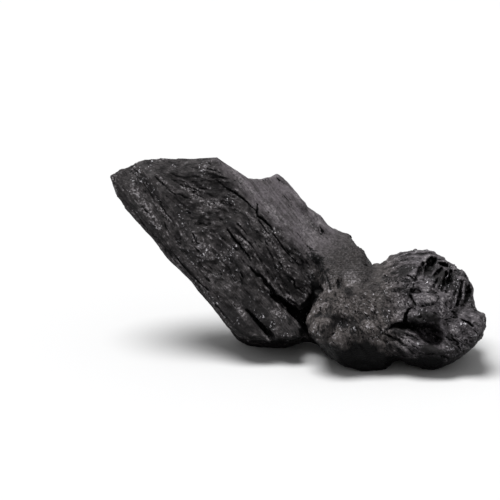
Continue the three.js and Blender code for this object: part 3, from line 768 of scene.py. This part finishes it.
def frontBend(height):  # the depth of the knot's front by its bend alone: it leans back with height
    lowest, start, bend = knot["front"]
    return lowest + bend * ramp(height - start) ** 2


def knotFront(x, height):  # the front's bend and undercut, less the forms that stand out, with its gaps
    tearX, fineTearX, tearHeight = knot["tear"]
    ragX = x + rippled(x, height, tearX) + rippled(x, height, fineTearX)
    ragHeight = height + rippled(x, height, tearHeight)
    forms = sum(mound(x, height, form) for form in knot["forms"])
    forms = forms + np.maximum.reduce([nodule(ragX, ragHeight, form) for form in knot["nodules"]])
    forms = forms + np.maximum.reduce([ridgeHeight(ragX, ragHeight, ridge) for ridge in knot["ridges"]])
    gaps = np.maximum.reduce([crackDepth(ragX, ragHeight, crack) for crack in knot["cracks"]])
    under, underBend = knot["undercut"]
    front = frontBend(height) + underBend * ramp(under - height) ** 2
    return front - forms + gaps + hollowDepth(ragX, ragHeight) - knotRelief(x, height)


def knotDistance(x, y, z):  # inside the outline, behind the front and before the back, with burls and clods
    height, depth = frontView(y, z)
    lowest, shoulderBend, headBend = knot["back"]
    back = lowest + mix(shoulderBend, headBend, smoothStep(x, *knot["head"])) * height ** 2
    edge = outlineDistance(x, height, knot["outline"])
    near = depth < frontBend(height) + knot["frontReach"]
    front = worked(near, knotFront, (x, height), knot["front"][0])
    skin = meet(front - depth, depth - back, knot["edgeRadius"])
    clods = sum(high * clouds((x, y, z), size, seed) for size, high, seed in knot["clods"])
    left, run = knot["clodsOnFelt"]
    clods = clods * mix(1, left, feltShare(x, height) * smoothStep(depth, *run))
    left, run = knot["clodsInFront"]
    clods = clods * mix(1, left, smoothStep(depth, *run))
    burls = sum(high * swells(x / size, y / size, z / size) for size, high in knot["burls"])
    return meet(edge, skin, knot["edgeRadius"]) + burls - clods


# The lump

lump = {
    "name": "charcoalLump",
    "cell": (0.7, 0.54, 0.6),  # the grid of cells, along the grain, across it and out
    "mostTriangles": 198000,
    "reach": ((-72, -32, -86), (130, 98, 32)),
    "billetEnds": 56,  # past this x the billet is too far off to count
    "knotStarts": -16,  # and the knot before this one
    "splinterMelt": 1.5,
    "knotMelt": 5,
    "footSpots": [((-15, 50), 10), ((35, 3), 8), ((65, 13), 7), ((40, 50), 8)],
    "clearance": (4, 12),
    "band": 6.5,  # how far from the skin the field is worked out
    "blockCells": 6,
    "farOff": 40.0,  # the distance to a part that is too far off to count
}


def groundClearance(points):  # how high the underside is kept: nothing on the spots the lump stands on
    x, y = points[:, 0], points[:, 1]
    gaps = [np.hypot(x - at[0], y - at[1]) - radius for at, radius in lump["footSpots"]]
    height, run = lump["clearance"]
    return smoothStep(np.minimum.reduce(gaps), 0, run) * height


def woodenDistance(s, t, n):  # the billet with its splinters
    wooden = billetDistance(s, t, n)
    for blade in billet["splinters"]:
        wooden = join(wooden, bladeDistance(np.stack([s, t, n], 1), blade), lump["splinterMelt"])
    return wooden


def partsField(place):  # the distances to the billet and to the knot, from a place along, across and out
    points = billet["middle"] + place @ billetAxes
    x = points[:, 0]
    wooden = worked(x < lump["billetEnds"], woodenDistance, place.T, lump["farOff"])
    knotted = worked(x > lump["knotStarts"], knotDistance, points.T, lump["farOff"])
    return wooden, knotted, points


def lumpField(place):  # billet, knot and heels joined, and cut off by the ground
    wooden, knotted, points = partsField(place)
    field = join(wooden, knotted, lump["knotMelt"])
    for centre, size, melt in heels:
        field = join(field, ellipsoidDistance(points, centre, size), melt)
    return np.maximum(field, groundClearance(points) - points[:, 2])


def inChunks(work, rows, chunk=60000):  # the rows worked through by all the threads, in their order
    with ThreadPoolExecutor() as threads:
        parts = threads.map(work, [rows[start:start + chunk] for start in range(0, len(rows), chunk)])
        return np.concatenate(list(parts))


def spread(values, block):  # each value repeated over its own block of cells
    for axis in range(3):
        values = np.repeat(values, block, axis)
    return values


def sampleField():  # a dense grid of distances, worked out only in the blocks of cells near the skin
    low, high = (np.array(corner, float) for corner in lump["reach"])
    cell, block = np.array(lump["cell"]), lump["blockCells"]
    blocks = np.ceil((high - low) / cell / block).astype(int)
    coarse = np.stack(np.meshgrid(*(np.arange(n + 1) * block for n in blocks), indexing="ij"), -1)
    near = inChunks(lumpField, low + coarse.reshape(-1, 3) * cell).reshape(coarse.shape[:3])
    ways = [(i, j, k) for i in (0, 1) for j in (0, 1) for k in (0, 1)]
    corners = [near[i:i + blocks[0], j:j + blocks[1], k:k + blocks[2]] for i, j, k in ways]
    values = spread(corners[0], block).astype(np.float32)
    active = spread(np.minimum.reduce([np.abs(corner) for corner in corners]) < lump["band"], block)
    values[active] = inChunks(lumpField, low + np.argwhere(active) * cell)
    print("field worked out at", int(active.sum()), "places")
    return values, low, cell


def shifted(a, b, da, db):  # the part of a grid that starts da and db further along two of its axes
    part = [slice(None)] * 3
    part[a] = slice(da, da - 1 or None)
    part[b] = slice(db, db - 1 or None)
    return tuple(part)


def mendField(values):  # fills a corner where wood meets wood only across a cell face's diagonal
    filled, rounds = -0.05, 6
    for _ in range(rounds):
        mended = 0
        for a, b in ((0, 1), (0, 2), (1, 2)):
            wooden = values < 0
            p, q, r, t = (wooden[shifted(a, b, *way)] for way in ((0, 0), (1, 0), (0, 1), (1, 1)))
            cross = (p == t) & (q == r) & (p != q)
            values[shifted(a, b, 0, 0)][cross & ~p] = filled
            values[shifted(a, b, 1, 0)][cross & p] = filled
            mended += int(cross.sum())
        if not mended:
            break
    return values


def skinVertices(values, low, cell):
    # One in each cell that the skin crosses, at the mean of the places where it crosses the cell's edges.
    wooden = values < 0
    count = np.array(values.shape) - 1
    corners = [(i, j, k) for i in (0, 1) for j in (0, 1) for k in (0, 1)]
    held = sum(wooden[i:i + count[0], j:j + count[1], k:k + count[2]].astype(np.int8) for i, j, k in corners)
    cells = np.argwhere((held > 0) & (held < 8))
    vertexOf = np.full(count, -1, np.int32)
    vertexOf[tuple(cells.T)] = np.arange(len(cells))
    total = np.zeros((len(cells), 3))
    crossings = np.zeros(len(cells))
    for start in corners:
        for axis in (axis for axis in range(3) if not start[axis]):
            end = [int(n == axis or start[n]) for n in range(3)]
            a, b = values[tuple((cells + start).T)], values[tuple((cells + end).T)]
            crossed = (a < 0) != (b < 0)
            offset = np.tile(np.array(start, float), (len(cells), 1))
            offset[:, axis] = np.where(crossed, a / np.where(crossed, a - b, 1), 0)
            total += offset * crossed[:, None]
            crossings += crossed
    return low + (cells + total / crossings[:, None]) * cell, vertexOf


def skinQuads(values, vertexOf):  # one across each edge of the grid that the skin crosses, facing outwards
    wooden = values < 0
    quads = []
    for axis in range(3):
        u, v = (axis + 1) % 3, (axis + 2) % 3
        first = [slice(1, -1)] * 3
        first[axis] = slice(0, -1)
        second = list(first)
        second[axis] = slice(1, None)
        a, b = wooden[tuple(first)], wooden[tuple(second)]
        start = np.array([int(n != axis) for n in range(3)])
        for way, crossed in ((1, a & ~b), (-1, b & ~a)):
            ring = []
            for du, dv in ((0, 0), (1, 0), (1, 1), (0, 1))[::way]:
                spot = np.argwhere(crossed) + start
                spot[:, u] -= du
                spot[:, v] -= dv
                ring.append(vertexOf[tuple(spot.T)])
            quads.append(np.stack(ring, 1))
    return np.concatenate(quads)


def largestPart(places, quads):  # each vertex takes the lowest number it can reach, and the commonest stays
    label = np.arange(len(places))
    edges = np.concatenate([quads[:, [0, 1]], quads[:, [1, 2]], quads[:, [2, 3]]])
    while True:
        lowest = np.minimum(label[edges[:, 0]], label[edges[:, 1]])
        fresh = label.copy()
        np.minimum.at(fresh, edges[:, 0], lowest)
        np.minimum.at(fresh, edges[:, 1], lowest)
        fresh = fresh[fresh]
        if (fresh == label).all():
            break
        label = fresh
    keep = label == np.bincount(label).argmax()
    return places[keep], (np.cumsum(keep) - 1)[quads[keep[quads[:, 0]]]]


def slopeAt(places, value):  # the field's slope, from a small step along each axis
    step = 0.2
    return np.stack([inChunks(lumpField, places + step * way) - value for way in np.eye(3)], 1) / step


def settle(places):  # each vertex moves down the field's slope until the field there is nearly zero
    rounds, furthest, leastSteepness = 2, 0.35, 0.4
    for _ in range(rounds):
        value = inChunks(lumpField, places)
        slope = slopeAt(places, value)
        move = -slope * (value / np.maximum((slope ** 2).sum(1), leastSteepness))[:, None]
        length = np.maximum(np.linalg.norm(move, axis=1), 1e-9)
        places = places + move * np.minimum(1, furthest / length)[:, None]
    return places


def thinned(piece, most):  # edges collapse where the skin is flattest, until this many triangles are left
    piece.data.calc_loop_triangles()
    triangles = len(piece.data.loop_triangles)
    piece.modifiers.new("triangles", "TRIANGULATE")
    piece.modifiers.new("thinning", "DECIMATE").ratio = min(1, most / triangles)
    shape = bpy.data.meshes.new_from_object(piece.evaluated_get(bpy.context.evaluated_depsgraph_get()))
    piece.modifiers.clear()
    piece.data = shape
    shape.name = piece.name


def makeMesh(name, points, quads):  # an object with a smooth mesh of these points and four-sided faces
    mesh = bpy.data.meshes.new(name)
    mesh.vertices.add(len(points))
    mesh.vertices.foreach_set("co", points.astype(np.float32).ravel())
    mesh.loops.add(quads.size)
    mesh.loops.foreach_set("vertex_index", quads.astype(np.int32).ravel())
    mesh.polygons.add(len(quads))
    mesh.polygons.foreach_set("loop_start", np.arange(0, quads.size, 4, dtype=np.int32))
    mesh.polygons.foreach_set("use_smooth", np.ones(len(quads), bool))
    mesh.update(calc_edges=True)
    mesh.validate()
    piece = bpy.data.objects.new(name, mesh)
    bpy.context.scene.collection.objects.link(piece)
    return piece


marks = {  # where the material's parts start and end, mostly in mm
    "turnTear": ((3, 2), 0.2, 98),  # the waves in the line where one flow takes over from another
    "turnAt": 0.5,  # the share at which it does
    "steadyRun": (0.08, 0.3),  # how far past that share the fibres are steady again
    "fanDepth": 0.3,  # how much of y counts as depth in the shoulder's fibres
    "slantDepth": (-12, -8),
    "partsFade": 5,  # how softly the billet turns into the knot
    "faceDepth": (-6, -2),
    "frontDepth": (7, 3),
    "flankDepth": (-26, -20),
    "feltRun": (20, 42),  # where along the grain the flank turns into felt
    "headRun": (38, 56),
    # the painted shade of the underside: how its edge is torn and faded
    "undersideShadeTear": ((4, 3), 1.5, 97),
    "undersideShadeFade": (-1, 1.5),
    "openReach": (1.3, 5.0),  # how far out and in the skin is probed for hollows and edges
}


def addAttribute(piece, name, values):  # a number or a place for each vertex, which the material reads
    kind, key = ("FLOAT_VECTOR", "vector") if values.ndim == 2 else ("FLOAT", "value")
    attribute = piece.data.attributes.new(name, kind, "POINT")
    attribute.data.foreach_set(key, values.astype(np.float32).ravel())


def fibrePlace(points, places, height, knotShare):
    # The place along the fibres, across them and in depth, in mm, and how steady it is: it jumps to another
    # flow where that one's share passes a half, and there the grain has faded out.
    flow, steady = np.array(places), np.ones(len(places))
    s, t, n = places.T
    x = points[:, 0]
    rag = rippled(s, t, marks["turnTear"]) - marks["turnAt"]
    depth = marks["fanDepth"] * points[:, 1]
    fanned = knotShare * (1 - feltShare(x, height))
    flows = [((*slantPlace(s, t), n), slantShare(s, t) * smoothStep(n, *marks["slantDepth"]))]
    flows += [((*fanPlace(x, height), depth), fanned)]
    flows += [((*place, depth), knotShare * share) for place, share in fibreParts(x, height)]
    faded, clear = marks["steadyRun"]
    for place, share in flows:
        past = share + rag
        flow[past > 0] = np.stack(place, 1)[past > 0]
        steady = np.where(past > clear, 1, steady)
        steady = np.minimum(steady, smoothStep(np.abs(past), faded, clear))
    return flow, steady


def skinAttributes(points, places, wooden, knotted, outwards):
    # What the material reads at each vertex: where it lies on the fibres, which part and patch it is on,
    # how open it is to the air near and far, how sharp an edge is and how far it faces down.
    s, t, n = places.T
    x = points[:, 0]
    height, depth = frontView(points[:, 1], points[:, 2])
    knotShare = smoothStep(wooden - knotted, -marks["partsFade"], marks["partsFade"])
    onFace = smoothStep(n - faceHeight(s, t), *marks["faceDepth"]) * (1 - knotShare)
    onFront = smoothStep(depth - knotFront(x, height), *marks["frontDepth"]) * knotShare
    flank = flankShare(s, t) * smoothStep(n, *marks["flankDepth"])
    felt = feltShare(x, height)
    undersideShade = rippled(x, height, marks["undersideShadeTear"]) - outlineDistance(x, height, knot["undersideShade"])
    fine, broad = marks["openReach"]
    flow, steady = fibrePlace(points, places, height, knotShare)
    return {
        "fibrePlace": flow * metresPerMm,
        "steady": steady,
        "place": points * metresPerMm,
        "knotShare": knotShare,
        "headShare": smoothStep(x, *marks["headRun"]) * knotShare,
        "smoothShare": mix(flank, felt, knotShare),
        "feltShare": smoothStep(s, *marks["feltRun"]),
        # pale patches, partly painted highlight, and dark patches, partly painted shade
        "pale": patchShare(s, t, face["pale"]) * onFace + patchShare(x, height, knot["pale"]) * onFront,
        "dull": patchShare(s, t, face["dull"]) * onFace + patchShare(x, height, knot["dull"]) * onFront,
        "undersideShade": smoothStep(undersideShade, *marks["undersideShadeFade"]) * knotShare,
        "openFine": inChunks(lumpField, places + fine * outwards) / fine,
        "openBroad": inChunks(lumpField, places + broad * outwards) / broad,
        "edgeFine": 1 + inChunks(lumpField, places - fine * outwards) / fine,
        "downward": -(outwards @ billetAxes)[:, 2],
    }


def makeLump():  # skinned, settled, stood on the ground, thinned out and marked for its material
    values, low, cell = sampleField()
    places, vertexOf = skinVertices(mendField(values), low, cell)
    places, quads = largestPart(places, skinQuads(values, vertexOf))
    points = billet["middle"] + settle(places) @ billetAxes
    points[:, 2] = ramp(points[:, 2])
    piece = makeMesh(lump["name"], (points - lumpCentre) * metresPerMm, quads)
    print("lump skinned:", len(points), "vertices")
    thinned(piece, lump["mostTriangles"])
    print("lump thinned:", len(piece.data.polygons), "triangles")

    points = np.empty(len(piece.data.vertices) * 3, np.float32)
    piece.data.vertices.foreach_get("co", points)
    points = points.reshape(-1, 3).astype(float) / metresPerMm + lumpCentre
    places = (points - billet["middle"]) @ np.linalg.inv(billetAxes)
    wooden, knotted, _ = partsField(places)
    outwards = slopeAt(places, inChunks(lumpField, places))
    outwards /= np.maximum(np.linalg.norm(outwards, axis=1), 1e-9)[:, None]
    for name, values in skinAttributes(points, places, wooden, knotted, outwards).items():
        addAttribute(piece, name, values)
    return piece


piece = makeLump()


# Material

coal = {
    "deep": (0.0026, 0.0026, 0.0028, 1),  # painted shade: black in gaps, pits and hollows, and on the underside
    "dark": (0.0125, 0.0115, 0.012, 1),
    "face": (0.0395, 0.0361, 0.0369, 1),
    "shoulder": (0.066, 0.0582, 0.0562, 1),
    "head": (0.070, 0.0635, 0.069, 1),
    "flank": (0.103, 0.0915, 0.1, 1),
    "felt": (0.029, 0.0257, 0.025, 1),
    "pale": (0.2, 0.186, 0.193, 1),  # pale flakes on crumbling patches, and painted highlights on lit crests and sharp edges
    "glint": (0.38, 0.37, 0.39, 1),
    "roughness": (0.42, 0.72),
    "glintPolish": 0.2,  # how much smoother a glint is
    "ior": 1.5,
    "specular": 0.1,
    "noises": {  # sizes in mm, detail and roughness; those with unlike sizes lie along the fibres
        "mottle": ((4.2, 4.2, 4.2), 3, 0.5),
        "specks": ((1.1, 1.1, 1.1), 3, 0.6),
        "swarms": ((9, 9, 9), 2, 0.6),
        "patches": ((9, 2.6, 3), 4, 0.6),
        "threads": ((6, 0.45, 0.7), 4, 0.6),
        "streaks": ((26, 1.1, 2.2), 3, 0.6),
        "flakes": ((1.9, 0.85, 0.9), 3, 0.65),
    },
    "tone": {  # what makes a place lighter, and by how much: its mean is near 1.32
        "patches": 0.6, "threads": 0.4, "flakes": 0.5, "mottle": 0.8, "specks": 0.35,
        "pale": 0.26, "dull": -0.24, "edges": 0.14,
    },
    "bodyTone": (1.14, 1.46),  # from dark to the part's own colour
    "flakeTone": (1.4, 1.68),  # from there to pale flakes
    "flakeSpecks": (0.44, 0.6),
    "lines": {"streaks": 0.45, "threads": 0.15, "specks": 0.12, "mottle": 0.28},
    "lineTone": (0.38, 0.58),
    "fuzz": {"threads": 0.25, "specks": 0.35, "mottle": 0.4},
    "fuzzTone": (0.3, 0.66),
    "chipsAndHighlights": (0.2, 0.6),  # pale chips and painted highlights on the smooth flank: everywhere, and on top of that on pale patches
    "chipSpecks": (0.44, 0.7),
    "rimHighlights": (0.6, (0.46, 0.58)),  # painted highlight on sharp edges: how pale they are there, and where the mottle lets them show
    "veil": 0.12,  # how much lighter a pale patch is on the smooth flank, partly a painted highlight
    "edges": (0.05, 0.6),  # how sharp an edge is that starts to count, and that counts in full
    "openFine": (0.15, 0.95),  # the same for how open a place is near its skin
    "openBroad": (0.1, 0.9),
    "openAir": (0.0, 0.6),
    "underside": (0.0, 0.6, 0.0, 0.8),  # painted shade: how far down a place faces, and how black that makes it
    "swarms": (0.5, 0.62),
    "swarmOnPale": 0.6,
    "glints": (0.31, 0.38),
    "sheen": (0.35, 0.65),
    "smoothLoss": 0.8,  # what the smooth flank takes off the flakes' height
    "bump": {"flakes": 0.9, "threads": 0.5, "specks": 0.5},  # in mm
}


def coalMaterial():
    # Noise along the fibres lightens each part's own colour from dark to pale, the smooth flank and the felt
    # have theirs, sharp edges and pale patches carry painted highlight, gaps and the underside are painted
    # black as shade, and a few flakes glint.
    material = bpy.data.materials.new("charredWood")
    material.use_nodes = True
    nodes, links = material.node_tree.nodes, material.node_tree.links
    nodes.clear()

    def add(kind, **settings):
        node = nodes.new("ShaderNode" + kind)
        for name, value in settings.items():
            setattr(node, name, value)
        return node

    def attribute(name, output="Fac"):
        return add("Attribute", attribute_name=name).outputs[output]

    def mapped(value, low, high, toLow=0.0, toHigh=1.0, kind="SMOOTHSTEP"):
        node = add("MapRange", interpolation_type=kind)
        links.new(value, node.inputs["Value"])
        for name, number in (("From Min", low), ("From Max", high), ("To Min", toLow), ("To Max", toHigh)):
            node.inputs[name].default_value = number
        return node.outputs["Result"]

    def blend(share, a, b):
        node = add("Mix", data_type="RGBA")
        for socket, value in ((node.inputs["Factor"], share), (node.inputs[6], a), (node.inputs[7], b)):
            if isinstance(value, (tuple, float)):
                socket.default_value = value
            else:
                links.new(value, socket)
        return node.outputs[2]

    def combine(operation, a, b):
        node = add("Math", operation=operation)
        for socket, value in zip(node.inputs, (a, b)):
            if isinstance(value, (int, float)):
                socket.default_value = value
            else:
                links.new(value, socket)
        return node.outputs["Value"]

    def grained(place, size, detail=4, roughness=0.6):  # noise whose waves have these sizes in mm
        stretch = add("Mapping")
        stretch.inputs["Scale"].default_value = [1000 / mm for mm in size]
        links.new(place, stretch.inputs["Vector"])
        node = add("TexNoise")
        node.inputs["Scale"].default_value = 1
        node.inputs["Detail"].default_value = detail
        node.inputs["Roughness"].default_value = roughness
        links.new(stretch.outputs["Vector"], node.inputs["Vector"])
        return node.outputs["Fac"]

    def summed(*terms):  # the values added up, each times its weight
        total = 0.0
        for value, weight in terms:
            node = add("Math", operation="MULTIPLY_ADD")
            links.new(value, node.inputs[0])
            node.inputs[1].default_value = weight
            if isinstance(total, float):
                node.inputs[2].default_value = total
            else:
                links.new(total, node.inputs[2])
            total = node.outputs["Value"]
        return total

    steady = attribute("steady")

    def steadied(noise):  # the noise, faded to its mean where the fibres turn
        return combine("ADD", combine("MULTIPLY", combine("SUBTRACT", noise, 0.5), steady), 0.5)

    def weighted(weights):  # the fields of these names added up, each times its weight
        return summed(*((fields[name], weight) for name, weight in weights.items()))

    place, fibres = attribute("place", "Vector"), attribute("fibrePlace", "Vector")
    fields = {name: grained(place, *coal["noises"][name]) for name in ("mottle", "specks", "swarms")}
    for name in ("patches", "threads", "streaks", "flakes"):
        fields[name] = steadied(grained(fibres, *coal["noises"][name]))
    smooth, felt, pale, dull = (attribute(name) for name in ("smoothShare", "feltShare", "pale", "dull"))
    edges = mapped(attribute("edgeFine"), *coal["edges"])
    fields.update(pale=pale, dull=dull, edges=edges)
    specks, mottle, flakes = (fields[name] for name in ("specks", "mottle", "flakes"))

    # the tone holds painted highlight on sharp edges and pale patches, and painted shade on dark patches
    tone = weighted(coal["tone"])
    knotBody = blend(attribute("headShare"), coal["shoulder"], coal["head"])
    body = blend(attribute("knotShare"), coal["face"], knotBody)
    colour = blend(mapped(tone, *coal["bodyTone"]), coal["dark"], body)
    flaking = combine("MULTIPLY", mapped(tone, *coal["flakeTone"]), mapped(specks, *coal["flakeSpecks"]))
    colour = blend(flaking, colour, coal["pale"])

    lined = blend(mapped(weighted(coal["lines"]), *coal["lineTone"]), coal["face"], coal["flank"])
    fuzzy = blend(mapped(weighted(coal["fuzz"]), *coal["fuzzTone"]), coal["dark"], coal["felt"])
    everywhere, onPale = coal["chipsAndHighlights"]
    chipsAndHighlights = combine("ADD", everywhere, combine("MULTIPLY", pale, onPale))
    chipsAndHighlights = combine("MULTIPLY", mapped(specks, *coal["chipSpecks"]), chipsAndHighlights)
    # painted highlight: sharp edges on the flank, but not on the felt, turn pale
    strength, showing = coal["rimHighlights"]
    rimHighlights = combine("MULTIPLY", combine("MULTIPLY", edges, mapped(mottle, *showing)), strength)
    chipsAndHighlights = combine("ADD", chipsAndHighlights, combine("MULTIPLY", rimHighlights, combine("SUBTRACT", 1.0, felt)))
    chipsAndHighlights = summed((chipsAndHighlights, 1.0), (pale, coal["veil"]))
    colour = blend(smooth, colour, blend(chipsAndHighlights, blend(felt, lined, fuzzy), coal["pale"]))

    # painted shade: places closed in by the skin, near and far, turn black
    openNear, openFar = (mapped(attribute(name), *coal[name]) for name in ("openFine", "openBroad"))
    openAir = mapped(combine("MULTIPLY", openNear, openFar), *coal["openAir"])
    colour = blend(openAir, coal["deep"], colour)
    # painted shade: what faces down, and the underside patch of the knot, turn black
    shadedBelow = combine("MAXIMUM", mapped(attribute("downward"), *coal["underside"]), attribute("undersideShade"))
    colour = blend(shadedBelow, colour, coal["deep"])

    swarms = mapped(fields["swarms"], *coal["swarms"])
    swarms = combine("MAXIMUM", swarms, combine("MULTIPLY", pale, coal["swarmOnPale"]))
    glint = combine("MULTIPLY", mapped(combine("MULTIPLY", flakes, specks), *coal["glints"]), swarms)
    glint = combine("MULTIPLY", glint, combine("SUBTRACT", 1.0, combine("MAXIMUM", smooth, shadedBelow)))
    colour = blend(glint, colour, coal["glint"])

    output = add("OutputMaterial")
    shader = add("BsdfPrincipled")
    shader.inputs["IOR"].default_value = coal["ior"]
    shader.inputs["Specular IOR Level"].default_value = coal["specular"]
    links.new(colour, shader.inputs["Base Color"])
    links.new(glint, shader.inputs["Metallic"])
    smoothest, roughest = coal["roughness"]
    roughness = mapped(fields["patches"], *coal["sheen"], roughest, smoothest)
    roughness = combine("SUBTRACT", roughness, combine("MULTIPLY", glint, coal["glintPolish"]))
    links.new(roughness, shader.inputs["Roughness"])

    rough = combine("SUBTRACT", 1.0, combine("MULTIPLY", smooth, coal["smoothLoss"]))
    fields["flakes"] = combine("MULTIPLY", flakes, rough)
    height = weighted(coal["bump"])
    bump = add("Bump")
    bump.inputs["Strength"].default_value = 1
    bump.inputs["Distance"].default_value = metresPerMm
    links.new(height, bump.inputs["Height"])
    links.new(bump.outputs["Normal"], shader.inputs["Normal"])
    links.new(shader.outputs["BSDF"], output.inputs["Surface"])
    return material


piece.data.materials.append(coalMaterial())
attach(piece, "root")
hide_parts(lumpNode)
print("material set")


# Stage, light and camera

stage = {
    "floorWidth": 8.0,
    "floorColor": (0.5, 0.5, 0.502, 1),
    "floorRoughness": 0.9,
    "world": 0.5,
    "worldColor": (1, 1, 1, 1),
    "sky": {"from": (-0.25, 0.0, 1.0), "angle": 36, "strength": 4.9},  # a broad soft light from above
    "frameWidth": 0.25,
    "lens": 200,
    "lookAt": (-25.0, 61.0, 25.0),  # x, height and depth in the front view, in mm
    "farthest": 50,
}


def makeFloor():  # a wide square at the height of the ground
    half = stage["floorWidth"] / 2
    corners = [(-half, -half, 0), (half, -half, 0), (half, half, 0), (-half, half, 0)]
    mesh = bpy.data.meshes.new("floor")
    mesh.from_pydata(corners, [], [(0, 1, 2, 3)])
    floor = bpy.data.objects.new("floor", mesh)
    bpy.context.scene.collection.objects.link(floor)
    material = bpy.data.materials.new("paleFloor")
    material.use_nodes = True
    shader = material.node_tree.nodes["Principled BSDF"]
    shader.inputs["Base Color"].default_value = stage["floorColor"]
    shader.inputs["Roughness"].default_value = stage["floorRoughness"]
    mesh.materials.append(material)


def makeLight():  # an even world, and a sun as wide as its angle that shines from a point to the origin
    world = bpy.data.worlds.new("studio")
    world.use_nodes = True
    background = world.node_tree.nodes["Background"]
    background.inputs["Color"].default_value = stage["worldColor"]
    background.inputs["Strength"].default_value = stage["world"]
    bpy.context.scene.world = world
    light = bpy.data.lights.new("softLight", "SUN")
    light.angle = math.radians(stage["sky"]["angle"])
    light.energy = stage["sky"]["strength"]
    lamp = bpy.data.objects.new("softLight", light)
    lamp.location = stage["sky"]["from"]
    lamp.rotation_euler = (-Vector(stage["sky"]["from"])).to_track_quat("-Z", "Y").to_euler()
    bpy.context.scene.collection.objects.link(lamp)


def makeCamera():  # the frame is as wide as the lens makes it at this distance, and its middle is the target
    x, height, depth = stage["lookAt"]
    y = depth * math.cos(frontViewTilt) + height * math.sin(frontViewTilt)
    z = height * math.cos(frontViewTilt) - depth * math.sin(frontViewTilt)
    target = Vector((np.array([x, y, z]) - lumpCentre) * metresPerMm)
    camera = bpy.data.objects.new("camera", bpy.data.cameras.new("camera"))
    camera.data.lens = stage["lens"]
    distance = stage["frameWidth"] * stage["lens"] / camera.data.sensor_width
    camera.location = target + Vector((0, -math.cos(frontViewTilt), math.sin(frontViewTilt))) * distance
    camera.rotation_euler = (math.pi / 2 - frontViewTilt, 0, 0)
    camera.data.clip_end = stage["farthest"]
    bpy.context.scene.collection.objects.link(camera)
    bpy.context.scene.camera = camera


makeFloor()
makeLight()
makeCamera()
bpy.context.scene.view_settings.view_transform = "Standard"
print("stage, light and camera set")
